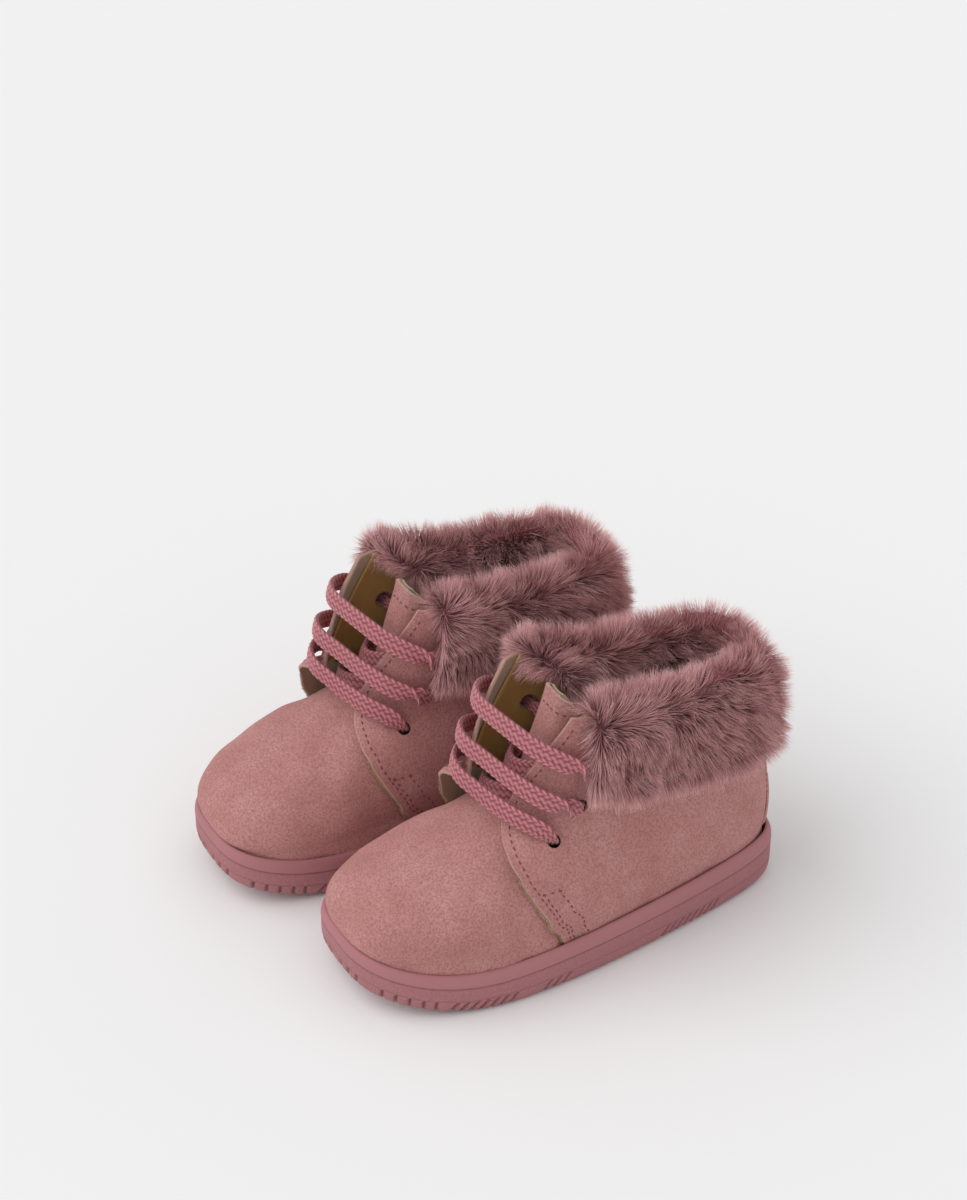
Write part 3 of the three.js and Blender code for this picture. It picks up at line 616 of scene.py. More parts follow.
# The route as a smooth line through its points, whose tangents allow for how far apart the points are.
def smoothRoute(route, step):
    ends = [2 * route[0] - route[1], 2 * route[-1] - route[-2]]
    knots = np.vstack([ends[0], route, ends[1]])
    pieces = []
    t = np.linspace(0, 1, 24, endpoint=False)[:, None]
    for n in range(1, len(knots) - 2):
        a, b, c, d = knots[n - 1 : n + 3]
        ab, bc, cd = [max(np.linalg.norm(q - p), 1e-4) ** 0.5 for p, q in ((a, b), (b, c), (c, d))]
        tangentB = ((b - a) / ab - (c - a) / (ab + bc) + (c - b) / bc) * bc
        tangentC = ((c - b) / bc - (d - b) / (bc + cd) + (d - c) / cd) * bc
        pieces.append(
            (2 * t**3 - 3 * t**2 + 1) * b + (t**3 - 2 * t**2 + t) * tangentB
            + (-2 * t**3 + 3 * t**2) * c + (t**3 - t**2) * tangentC
        )
    line = np.vstack([*pieces, route[-1:]])
    run = np.concatenate([[0], np.cumsum(np.linalg.norm(np.diff(line, axis=0), axis=1))])
    at = np.linspace(0, run[-1], int(run[-1] / step) + 1)
    return np.stack([np.interp(at, run, line[:, k]) for k in range(3)], -1), at


def eyeletPlace(height, behind, sign, lifted):
    around = sign * (edgeAt(height) + behind)
    lift = liftAt(height, around, sign) if lifted else 0
    return skin(height, around, layers["quarter"] + lift), outward(height, around)


# Which way the flat side of the lace faces: outwards from the shoe, turned as little as it can be.
def laceSides(centres, tangents):
    flats = []
    flat = np.array([0.0, 0.0, 1.0])
    for centre, tangent in zip(centres, tangents):
        away = np.array([centre[0], centre[1] - 2, 5 + 3 * max(0, 30 - centre[2])])
        away /= np.linalg.norm(away)
        flat = flat + away * 0.25 * np.sum(np.cross(away, tangent) ** 2)
        flat = flat - tangent * (flat @ tangent)
        flat /= np.linalg.norm(flat)
        flats.append(flat)
    return np.array(flats)


# Height of the plaited ribs, 0 to 1: slanted strands that change their lean from column to column.
def ribPattern(wide, at):
    column = (wide * 0.5 + 0.5) * lace["columns"]
    index = np.clip(np.floor(column), 0, lace["columns"] - 1)
    across = column - index - 0.5
    lean = np.where(index % 2 == 0, 1, -1)
    strand = np.cos(2 * np.pi * (at[:, None] / lace["ribPitch"] + lean * across * 0.5 + index * 0.5))
    return (0.5 + 0.5 * strand) * np.clip(1 - (2 * np.abs(across)) ** 3, 0, 1) ** 0.6


def laceEnds(rings):
    count = lace["around"]
    ends = []
    for k in range(count // 2 - 1):
        quad = [k, k + 1, count - 2 - k, count - 1 - k]
        ends.append(quad)
        ends.append([(rings - 1) * count + corner for corner in reversed(quad)])
    return np.array(ends)


def makeLace(name, bootie):
    centres, at = smoothRoute(laceRoute, lace["ringStep"])
    tangents = np.gradient(centres, axis=0)
    tangents /= np.linalg.norm(tangents, axis=1, keepdims=True)
    flats = laceSides(centres, tangents)
    acrosses = np.cross(tangents, flats)
    holes = np.array([eyeletPlace(*row, sign, True)[0] for row in eyeletRows for sign in (1, -1)])
    reach = np.min(np.linalg.norm(centres[:, None] - holes[None], axis=2), axis=1)
    widths = mix(lace["eyeletWidth"], lace["width"], smooth(lace["squeezeTo"], lace["squeezeFrom"], reach))
    angles = (np.arange(lace["around"]) + 0.5) / lace["around"] * 2 * np.pi
    wide = np.sign(np.cos(angles)) * np.abs(np.cos(angles)) ** lace["sideRound"]
    thick = np.sign(np.sin(angles)) * np.abs(np.sin(angles)) ** lace["faceFlat"]
    rib = ribPattern(wide, at)
    half = lace["thickness"] / 2 + lace["ribHeight"] * (rib - 0.6) * np.abs(thick) ** 0.3
    points = (
        centres[:, None] + acrosses[:, None] * (wide * widths[:, None] / 2)[..., None]
        + flats[:, None] * (thick * half)[..., None]
    )
    faces = gridQuads(len(centres), lace["around"], closed=True)
    # painted shade: the lace is darkened where it runs into an eyelet
    eyeletShade = (1 - smooth(lace["shadeTo"], lace["shadeFrom"], reach))[:, None] * lace["shade"]
    made = makeObject(
        f"{name}_laceBraid", standing(points.reshape(-1, 3), bootie, False),
        np.concatenate([faces, laceEnds(len(centres))]), braidedPolyester,
        {"ribHeight": rib, "eyeletShade": np.broadcast_to(eyeletShade, rib.shape)},
    )
    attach(made, bootie["body"])
    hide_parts(f"{name}_lace")


for name, bootie in booties.items():
    makeLace(name, bootie)
print("laces are plaited")

tread = {
    "ringCount": 720,  # points round the outline
    "rimGroove": 0.35, "rimGrooveShare": 0.67, "rimGrooveWidth": 0.28,  # depth, share of the height, width
    "lowerLine": 0.2, "lowerLineShare": 0.33, "lowerLineWidth": 0.22,
    "cutDepth": 0.9, "cutWidth": 0.4,
    "acrossColumns": 44, "soleCut": 1.1, "solePitch": 6.6,
}
# The cuts between the lugs, by how far round from the toe each one meets the ground, and how they lean back.
sideCuts = [
    {"lean": 0.3, "curve": 0.4, "places": (2.6, 6.4, 10.0, 18.5, 22.4, 26.2, 30.0, 33.4)},
    {"lean": 2.6, "curve": 0.8, "places": (37.0, 39.8, 42.6, 45.4, 48.2, 51.0, 53.8)},
    {"lean": 2.8, "curve": 0.8, "places": (64.0, 67.0, 70.0)},
    {"lean": 2.4, "curve": 0.9, "places": (104.0, 106.6, 109.2, 111.8, 114.4, 117.0, 119.6, 122.2)},
]


def solePoint(turns, inset):
    half = sole["length"] / 2
    widths = sole["foreWidth"], sole["heelWidth"]
    return planPoint(turns, inset - half, half - inset, *widths, lambda share: inset)


# The wall's section from the ground to the inside of the rim: inset, share of the wall's height.
def wallProfile():
    bottom = [(2.6, 0.0), (1.6, 0.012), (0.9, 0.045), (0.45, 0.1), (0.2, 0.17)]
    shares = np.linspace(0.19, 0.82, 56)
    wall = list(zip(np.interp(shares, [0.17, 0.3, 0.6, 0.72, 0.82], [0.2, 0.05, 0.08, 0.0, 0.08]), shares))
    rim = [(0.2, 0.87), (0.38, 0.92), (0.65, 0.96), (1.0, 0.988), (1.35, 1.0), (1.65, 0.997), (1.8, 0.98)]
    return bottom + wall + rim


def cutDepths(run, share):
    depth = np.zeros(len(run))
    low = np.clip(share / tread["lowerLineShare"], 0, 1)
    fade = 1 - smooth(0.82, 0.98, share / tread["lowerLineShare"])
    for group in sideCuts:
        for place in group["places"]:
            centre = place + group["lean"] * low + group["curve"] * low**2
            depth = np.maximum(depth, np.exp(-(((run - centre) / tread["cutWidth"]) ** 2)))
    return tread["cutDepth"] * depth * fade


def grooveDepth(key, share, wall):
    away = (share - tread[key + "Share"]) * wall / tread[key + "Width"]
    return tread[key] * np.exp(-(away**2))


# Rings of points round the outside and down into the cup, with what the rubber's material reads at each.
def soleRings():
    count = tread["ringCount"]
    turns = np.arange(count) / count
    x0, y0 = solePoint(turns, 0)
    steps = np.hypot(np.roll(x0, -1) - x0, np.roll(y0, -1) - y0)
    run = np.concatenate([[0], np.cumsum(steps[:-1])])
    run = np.minimum(run, steps.sum() - run)
    normals = np.stack([np.roll(y0, -1) - np.roll(y0, 1), -(np.roll(x0, -1) - np.roll(x0, 1))], -1)
    normals /= np.linalg.norm(normals, axis=1, keepdims=True)
    wall = rimAt(y0) - springAt(y0)
    rings, shares, cuts = [], [], []
    for inset, share in wallProfile():
        groove = grooveDepth("rimGroove", share, wall) + grooveDepth("lowerLine", share, wall)
        cut = cutDepths(run, share)
        x, y = solePoint(turns, inset)
        extra = (groove + cut)[:, None] * normals
        level = springAt(y) + share * (rimAt(y) - springAt(y))
        rings.append(np.stack([x - extra[:, 0], y - extra[:, 1], level], -1))
        shares.append(np.full(count, share))
        # painted shade: how dark the cuts and grooves are painted
        cuts.append(np.clip(cut / tread["cutDepth"] * 0.8 + groove * 0.9, 0, 1))
    for drop in (1.5, sole["cupDepth"]):
        x, y = solePoint(turns, sole["lip"])
        rings.append(np.stack([x, y, rimAt(y) - drop], -1))
        shares.append(np.full(count, 0.9))
        cuts.append(np.zeros(count))
    return rings, np.concatenate(shares), np.concatenate(cuts)


def makeSole(name, bootie):
    rings, shares, cuts = soleRings()
    points = np.concatenate(rings)
    count, columns = tread["ringCount"], tread["acrossColumns"]
    half = count // 2
    polygons = gridQuads(len(rings), count, closed=True).tolist()
    for ring, bottom in ((rings[0], True), (rings[-1], False)):
        right, left = ring[1:half], ring[count - 1 : half : -1]
        t = np.linspace(0, 1, columns + 1)[None, 1:-1, None]
        inside = right[:, None] * (1 - t) + left[:, None] * t
        if bottom:
            inside[..., 2] = springAt(inside[..., 1]) + treadCuts(inside, right, left)
        places = len(points) + np.arange(inside.shape[0] * inside.shape[1]).reshape(inside.shape[:2])
        points = np.concatenate([points, inside.reshape(-1, 3)])
        shares = np.concatenate([shares, np.full(places.size, 0.1 if bottom else 0.9)])
        start = 0 if bottom else (len(rings) - 1) * count
        rows = np.arange(1, half)[:, None]
        grid = np.concatenate([start + rows, places, start + count - rows], axis=1)
        quads = np.stack([grid[:-1, :-1], grid[:-1, 1:], grid[1:, 1:], grid[1:, :-1]], -1).reshape(-1, 4)
        ends = [[start, grid[0, k + 1], grid[0, k]] for k in range(columns)]
        ends += [[start + half, grid[-1, k], grid[-1, k + 1]] for k in range(columns)]
        polygons += (quads[:, ::-1] if bottom else quads).tolist()
        polygons += [end if bottom else end[::-1] for end in ends]
    mesh = bpy.data.meshes.new(f"{name}_cupSole")
    mesh.from_pydata(standing(points, bootie).tolist(), [], polygons)
    mesh.shade_smooth()
    setAttribute(mesh, "wallShare", shares)
    setAttribute(mesh, "cutShade", np.concatenate([cuts, np.zeros(len(points) - len(cuts))]))
    mesh.materials.append(mouldedRubber)
    made = placeObject(f"{name}_cupSole", mesh)
    faceOut(made)
    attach(made, bootie["body"])
    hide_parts(f"{name}_outsole")


# Flex grooves on the underside, bent forwards in the middle, on the forefoot and the heel.
def treadCuts(inside, right, left):
    y = inside[..., 1]
    centre = (right[:, None, 0] + left[:, None, 0]) / 2
    width = np.abs(right[:, None, 0] - left[:, None, 0]) / 2
    across = (inside[..., 0] - centre) / np.maximum(width, 1e-6)
    wave = np.abs(((y - np.abs(across) * 5) / tread["solePitch"]) % 1 - 0.5) * tread["solePitch"]
    cut = 1 - smooth(0.5, 1.0, wave)
    share = shareOf(y)
    where = 1 - smooth(0.44, 0.46, share) * (1 - smooth(0.66, 0.68, share))
    edge = 1 - smooth(0.8, 0.9, np.abs(across))
    return tread["soleCut"] * cut * where * edge


def plainMesh(made):
    return bpy.data.meshes.new_from_object(made.evaluated_get(bpy.context.evaluated_depsgraph_get()))


def faceOut(made):
    bm = bmesh.new()
    bm.from_mesh(made.data)
    bmesh.ops.recalc_face_normals(bm, faces=bm.faces)
    bm.to_mesh(made.data)
    bm.free()


for name, bootie in booties.items():
    makeSole(name, bootie)
print("soles are made")

upper = {
    "collar": 76, "overlap": 11, "throat": 44, "tongueTop": 78, "tongueWidth": 30, "tongueTopWidth": 25,
    "sink": 4, "softness": 0.22, "softSize": 15, "hemHeight": 11,
    "fullness": 1.4,  # how far the vamp bulges out to the sole's rim in front of the flaps
    "frontGrid": (150, 100), "quarterGrid": (104, 84),  # rows and columns of points
}
eyelet = {"hole": 3.7, "sides": 32, "inwards": 5, "outwards": 12}  # the suede closes round the lace
facing = {"bottom": 37, "start": 2.9, "width": 15.5, "grid": (60, 36), "hole": 4.9}
heelStrip = {
    "above": 1, "top": 43, "widthLow": 20, "widthTop": 16, "thick": 0.75, "edge": 0.12, "grid": (36, 41),
}


def tongueHalf(height):
    share = np.clip((height - upper["throat"]) / (upper["tongueTop"] - upper["throat"]), 0, 1)
    half = mix(upper["tongueWidth"], upper["tongueTopWidth"], share) / 2
    over = np.clip((height - (upper["tongueTop"] - 9)) / 9, 0, 1)
    return half * np.sqrt(np.maximum(1 - over**2.2, 0.05))


def sinkAt(height):
    return upper["sink"] * smooth(41, 49, height)


def frontHalf(height):
    wing = edgeAt(height) + mix(upper["overlap"], 5, smooth(31, 39, height))
    return mix(wing, tongueHalf(height), smooth(40, 46, height))


# Slow swells of the hide, the same for a piece and the stitches on it.
def addSoft(points, around, height, seed):
    swell = upper["softness"] * softNoise(points, upper["softSize"], seed)
    return points + outward(height, around) * swell[..., None]


# Shares of a piece's height and width over its grid of points.
def gridShares(grid, start=0):
    rows, columns = grid
    return np.linspace(0, 1, rows)[:, None], np.linspace(start, 1, columns)[None, :]


def makeFront(name, bootie):
    b, a = gridShares(upper["frontGrid"], -1)
    height = mix(footEdge(a * frontHalf(upper["hemHeight"])), upper["tongueTop"], b**0.92)
    around = a * frontHalf(height)
    low = skin(height, around, layers["vampFace"])
    openFront = mix(0.3, 1, smooth(0.3, 2.5, edgeAt(height) - np.abs(around)))
    nearRim = 1 - smooth(0, 8, height - rimAt(low[..., 1]))
    full = (upper["fullness"] * smooth(0.24, 0.33, shareOf(low[..., 1])) + 0.2) * openFront * nearRim
    outer = skin(height, around, layers["vampFace"] - sinkAt(height) + full)
    outer = addSoft(outer, around, height, 3)
    inner = skin(height, around, layers["vamp"] - sinkAt(height))
    raw = smooth(0.985, 1, np.abs(a)) * smooth(46, 50, height) * 0.5
    made = makeSheet(f"{name}_vampAndTongue", outer, inner, bootie, brushedSuede, 0.2, {"rawEdge": raw})
    start = standing(skin(43.5, 0, layers["vampFace"]), bootie)
    end = standing(skin(50, 0, layers["vampFace"] - upper["sink"]), bootie)
    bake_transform(made)
    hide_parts(f"{name}_vamp", f"{name}_tongue")


def cutEyelets(made, sign, bootie, hole):
    points, faces = [], []
    sides = eyelet["sides"]
    angles = np.linspace(0, 2 * np.pi, sides + 1)[:-1, None]
    for n, row in enumerate(eyeletRows):
        centre, normal = eyeletPlace(*row, sign, False)
        first = np.cross(normal, (0, 0, 1))
        first /= np.linalg.norm(first)
        ring = (first * np.cos(angles) + np.cross(normal, first) * np.sin(angles)) * hole / 2
        points += [centre + ring - normal * eyelet["inwards"], centre + ring + normal * eyelet["outwards"]]
        start = 2 * sides * n
        middle, end = start + sides, start + 2 * sides
        faces += gridQuads(2, sides, start, closed=True).tolist()
        faces += [list(range(start, middle)), list(range(end - 1, middle - 1, -1))]
    mesh = bpy.data.meshes.new("eyeletCutters")
    mesh.from_pydata(standing(np.concatenate(points), bootie).tolist(), [], faces)
    cutter = placeObject("eyeletCutters", mesh)
    faceOut(cutter)
    step = made.modifiers.new("punch", "BOOLEAN")
    step.object, step.solver = cutter, "EXACT"
    made.data = plainMesh(made)
    made.modifiers.clear()
    bpy.data.objects.remove(cutter)


def makeQuarter(name, bootie, word, sign):
    side = sign * bootie["hand"]
    b, a = gridShares(upper["quarterGrid"])
    hem = mix(edgeAt(upper["hemHeight"]), girthAt(upper["hemHeight"]) - gap / 2, a**1.25)
    height = mix(footEdge(hem * sign), upper["collar"], b**0.95)
    around = mix(edgeAt(height), girthAt(height) - gap / 2, a**1.25)
    lift = liftAt(height, around, side)
    outer = skin(height, around * sign, layers["quarterFace"] + lift)
    outer = addSoft(outer, around * sign, height, 5 + sign)
    inner = skin(height, around * sign, layers["quarter"] + lift)
    behind = around - edgeAt(height)
    raw = (1 - smooth(0.05, 0.35, behind)) * mix(0.75, 0.3, smooth(30, 38, height))
    made = makeSheet(f"{name}_{word}Quarter", outer, inner, bootie, brushedSuede, 0.15, {"rawEdge": raw})
    cutEyelets(made, sign, bootie, eyelet["hole"])
    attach(made, bootie["body"])
    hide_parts(f"{name}_{word}_quarter")


# Lining hide behind the eyelets, cut wider round each hole than the suede is.
def makeFacing(name, bootie, word, sign):
    b, a = gridShares(facing["grid"])
    height = mix(facing["bottom"], upper["collar"], b) + 0 * a
    around = edgeAt(height) + facing["start"] + a * facing["width"]
    lift = liftAt(height, around, sign * bootie["hand"])
    outer = skin(height, around * sign, layers["facingFace"] + lift)
    inner = skin(height, around * sign, layers["facing"] + lift)
    made = makeSheet(f"{name}_{word}FacingLining", outer, inner, bootie, tanLining, 0.1)
    cutEyelets(made, sign, bootie, facing["hole"])
    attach(made, bootie["body"])
    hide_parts(f"{name}_{word}_facing_lining")


def makeHeelStrip(name, bootie):
    b, a = gridShares(heelStrip["grid"], -1)
    height = mix(rimAt(sole["length"] / 2) + heelStrip["above"], heelStrip["top"], b) + 0 * a
    across = girthAt(height) - mix(heelStrip["widthLow"], heelStrip["widthTop"], b) / 2 * np.abs(a)
    around = np.where(a < 0, across, -across)
    bevel = (1 - smooth(0.86, 1, np.abs(a))) * (1 - smooth(0.94, 1, b))
    rise = heelStrip["thick"] * bevel + heelStrip["edge"]
    outer = skin(height, around, layers["quarterFace"] + rise)
    inner = skin(height, around, layers["quarterFace"] - 0.05)
    made = makeSheet(f"{name}_heelStrip", outer, inner, bootie, brushedSuede, 0.1)
    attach(made, bootie["body"])
    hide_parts(f"{name}_heel_strip")


for name, bootie in booties.items():
    makeFront(name, bootie)
    for word, sign in (("lateral", 1), ("medial", -1)):
        makeQuarter(name, bootie, word, sign)
        makeFacing(name, bootie, word, sign)
    makeHeelStrip(name, bootie)
print("uppers are made")

# A tree with its inputs in the order given, and the node that brings them in.
def newTree(name, inputs):
    tree = bpy.data.node_groups.new(name, "GeometryNodeTree")
    for key, kind in {"Geometry": "Geometry", **inputs}.items():
        tree.interface.new_socket(name=key, in_out="INPUT", socket_type=f"NodeSocket{kind}")
    tree.interface.new_socket(name="Geometry", in_out="OUTPUT", socket_type="NodeSocketGeometry")
    return tree, addNode(tree, "NodeGroupInput")


stitch = {"pitch": 2.0, "length": 1.25, "thickness": 0.5, "sunk": -0.02}


# A row of thread stitches along a line of points: resampled at the pitch, one small capsule at each.
def stitchTree():
    tree, inputs = newTree("stitchRow", {
        "pitch": "Float", "stitchLength": "Float", "stitchThickness": "Float", "thread": "Material"})
    curve = addNode(tree, "GeometryNodeMeshToCurve", None, {"Mesh": (inputs, "Geometry")})
    spaced = addNode(tree, "GeometryNodeResampleCurve", {"mode": "LENGTH"}, {
        "Curve": curve, "Length": (inputs, "pitch")})
    tangent = addNode(tree, "GeometryNodeInputTangent")
    normal = addNode(tree, "GeometryNodeInputNamedAttribute", {"data_type": "FLOAT_VECTOR"}, {
        "Name": "faceNormal"})
    along = addNode(tree, "FunctionNodeAlignRotationToVector", {"axis": "X"}, {"Vector": tangent})
    turned = addNode(tree, "FunctionNodeAlignRotationToVector", {"axis": "Z", "pivot_axis": "X"}, {
        "Rotation": along, "Vector": normal})
    capsule = addNode(tree, "GeometryNodeMeshUVSphere", None, {"Segments": 8, "Rings": 5, "Radius": 0.5})
    size = addNode(tree, "ShaderNodeCombineXYZ", None, {
        "X": (inputs, "stitchThickness"), "Y": (inputs, "stitchThickness"), "Z": (inputs, "stitchLength")})
    laid = addNode(tree, "GeometryNodeTransform", None, {
        "Geometry": (capsule, "Mesh"), "Scale": (size, "Vector")})
    flat = addNode(tree, "GeometryNodeTransform", None, {
        "Geometry": (laid, "Geometry"), "Rotation": (0, math.pi / 2, 0)})
    placed = addNode(tree, "GeometryNodeInstanceOnPoints", None, {
        "Points": (spaced, "Curve"), "Instance": (flat, "Geometry"), "Rotation": (turned, "Rotation")})
    real = addNode(tree, "GeometryNodeRealizeInstances", None, {"Geometry": (placed, "Instances")})
    dyed = addNode(tree, "GeometryNodeSetMaterial", None, {
        "Geometry": (real, "Geometry"), "Material": (inputs, "thread")})
    addNode(tree, "NodeGroupOutput", None, {"Geometry": (dyed, "Geometry")})
    return tree


# Runs a tree on a mesh and keeps the plain result as a new object.
def applyTree(mesh, tree, values, name):
    source = placeObject(mesh.name, mesh)
    modifier = source.modifiers.new("nodes", "NODES")
    modifier.node_group = tree
    for item in tree.interface.items_tree:
        if item.in_out == "INPUT" and item.name in values:
            modifier[item.identifier] = values[item.name]
    result = plainMesh(source)
    result.name = name
    bpy.data.objects.remove(source)
    return placeObject(name, result)


def makeStitches(name, rows, bootie, body):
    points, normals, edges = [], [], []
    for place, normal in rows:
        start = sum(len(p) for p in points)
        points.append(standing(place + normal * stitch["sunk"], bootie))
        normals.append(normal * np.array([bootie["hand"], 1, 1]))
        edges += [(start + n, start + n + 1) for n in range(len(place) - 1)]
    mesh = bpy.data.meshes.new(name + "Line")
    mesh.from_pydata(np.concatenate(points).tolist(), edges, [])
    setAttribute(mesh, "faceNormal", np.concatenate(normals), "FLOAT_VECTOR")
    made = applyTree(mesh, stitchNodes, {
        "pitch": stitch["pitch"] * mm, "stitchLength": stitch["length"] * mm,
        "stitchThickness": stitch["thickness"] * mm, "thread": bondedThread}, name)
    made.data.shade_smooth()
    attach(made, body)


def flapFace(heights, arounds, sign, side):
    lift = liftAt(heights, arounds, side)
    return skin(heights, arounds * sign, layers["quarterFace"] + lift)


# A line inside the flap's front edge: the first place at each height that is the inset's distance from it.
def flapLine(heights, inset, sign, side):
    heights = np.asarray(heights, float)[:, None]
    edgeHeights = np.arange(8, 78, 0.4)
    edge = flapFace(edgeHeights, edgeAt(edgeHeights), sign, side)
    reach = np.linspace(0, 5.5 * inset, 120)[None, :]
    arounds = edgeAt(heights) + reach
    grid = flapFace(heights + 0 * reach, arounds, sign, side)
    apart = np.linalg.norm(grid[:, :, None] - edge, axis=3).min(axis=2)
    column = np.maximum(np.argmax(apart >= inset, axis=1), 1)
    row = np.arange(len(heights))
    before, after = apart[row, column - 1], apart[row, column]
    share = np.clip((inset - before) / np.maximum(after - before, 1e-6), 0, 1)
    return heights[:, 0], mix(arounds[row, column - 1], arounds[row, column], share)


def flapRow(heights, arounds, sign, side):
    place = flapFace(heights, arounds, sign, side)
    ahead = flapFace(heights, arounds + 0.5, sign, side)
    above = flapFace(heights + 0.5, arounds, sign, side)
    normal = np.cross((ahead - place) * sign, above - place)
    normal /= np.linalg.norm(normal, axis=1, keepdims=True)
    normal *= np.sign(np.sum(normal * outward(heights, arounds * sign), 1))[:, None]
    return addSoft(place, arounds * sign, heights, 5 + sign), normal


stitchNodes = stitchTree()
# Where the rows run: how far inside the flap's edge, and the heights of their ends.
stitchPlan = {
    "edge": 2.2, "boxFront": 3.3, "boxBack": 7.4, "bottom": 14.5, "boxTop": 29.5, "top": 72,
    "heelRow": 9.5, "heelBottom": 20, "heelTop": 46,
    "tongueRow": 4.2, "tongueBow": 1.6, "tongueSide": 2.5,
}


def makeFlapStitches(name, bootie, word, sign):
    side = sign * bootie["hand"]
    plan = stitchPlan
    tall = np.linspace(plan["bottom"], plan["top"], 170)
    low = np.linspace(plan["bottom"], plan["boxTop"], 50)
    rows = [
        flapRow(*flapLine(heights, plan[key], sign, side), sign, side)
        for heights, key in ((tall, "edge"), (low, "boxFront"), (low, "boxBack"))
    ]
    front, back = [np.concatenate(flapLine([plan["boxTop"]], plan[key], sign, side))
                   for key in ("boxFront", "boxBack")]
    t = np.linspace(0, 1, 12)
    rows.append(flapRow(mix(front[0], back[0], t), mix(front[1], back[1], t), sign, side))
    heights = np.linspace(plan["heelBottom"], plan["heelTop"], 40)
    rows.append(flapRow(heights, girthAt(heights) - plan["heelRow"], sign, side))
    makeStitches(f"{name}_{word}Stitches", rows, bootie, bootie["body"])


def makeTongueStitches(name, bootie):
    a = np.linspace(-1, 1, 60)
    heights = upper["tongueTop"] - stitchPlan["tongueRow"] - stitchPlan["tongueBow"] * a**2
    arounds = a * (tongueHalf(heights) - stitchPlan["tongueSide"])
    place = skin(heights, arounds, layers["vampFace"] - sinkAt(heights))
    rows = [(addSoft(place, arounds, heights, 3), outward(heights, arounds))]
    makeStitches(f"{name}_tongueStitches", rows, bootie, bootie["tongueBody"])


for name, bootie in booties.items():
    for word, sign in (("lateral", 1), ("medial", -1)):
        makeFlapStitches(name, bootie, word, sign)
    makeTongueStitches(name, bootie)
print("stitches are sewn")

cuff = {
    "backing": 2.2, "innerBacking": 1.2, "riseFront": 8, "riseHeel": 4.5, "clearance": 0.8, "frontTop": 1.5,
    "frontSlope": 0.4, "bottomFront": 51, "bottomHeel": 44, "innerBottom": 56, "innerStart": 8,
    "topDrop": 7.0,  # how far the backing's top lies below the tips of the pile
    "columns": 140, "bands": 4,
    "grownWalls": 10,  # walls of the section that carry pile, counted from the lower outer edge
    "strands": 62000, "strandRadius": 0.11, "strandLength": 7.2, "clump": 3.4, "pull": 0.4, "curl": 2.6,
    "comb": 0.5,  # how far the pile on the outer wall is combed down
}


# The backing's section, from the lower outer edge over the top and down inside: depth, height.
def cuffSection(along, side, hand):
    rim = upper["collar"] + gap
    bottom = mix(cuff["bottomFront"], cuff["bottomHeel"], 1 - along * along)
    overLace = (lace["thickness"] + cuff["clearance"]) * smooth(0.72, 0.82, along)
    near = layers["quarterFace"] + cuff["clearance"] + overLace
    full = near + cuff["backing"]
    top = rim + mix(cuff["riseHeel"], cuff["riseFront"], along) - cuff["topDrop"]
    inner = -cuff["clearance"] - cuff["innerBacking"]
    outline = [
        (near, bottom + 4), (full, bottom + 6), (full, mix(bottom, top, 0.35)), (full, mix(bottom, top, 0.7)),
        (mix(near, full, 0.7), top - 4), (near - 0.5, top - 1), (2.2, top), (0.2, top - 1), (inner, top - 5),
        (inner, cuff["innerBottom"] + 6), (-cuff["clearance"], cuff["innerBottom"] + 3),
        (-cuff["clearance"], rim), (near, rim),
    ]
    depths, heights = np.array(outline).T
    girth = girthAt(heights)
    start = edgeAt(heights) + cuff["frontTop"] + cuff["frontSlope"] * (rim + cuff["riseFront"] - heights)
    start = start + np.where(depths < 0, cuff["innerStart"], 0)
    around = side * (girth - along * (girth - start))
    lift = np.where(depths > 1, liftAt(heights, around, side * hand), 0)
    return skin(heights, around, depths + lift)


def cuffRings(hand):
    places = np.linspace(-1, 1, cuff["columns"] + 1)
    return np.array([cuffSection(abs(place), 1 if place < 0 else -1, hand) for place in places])


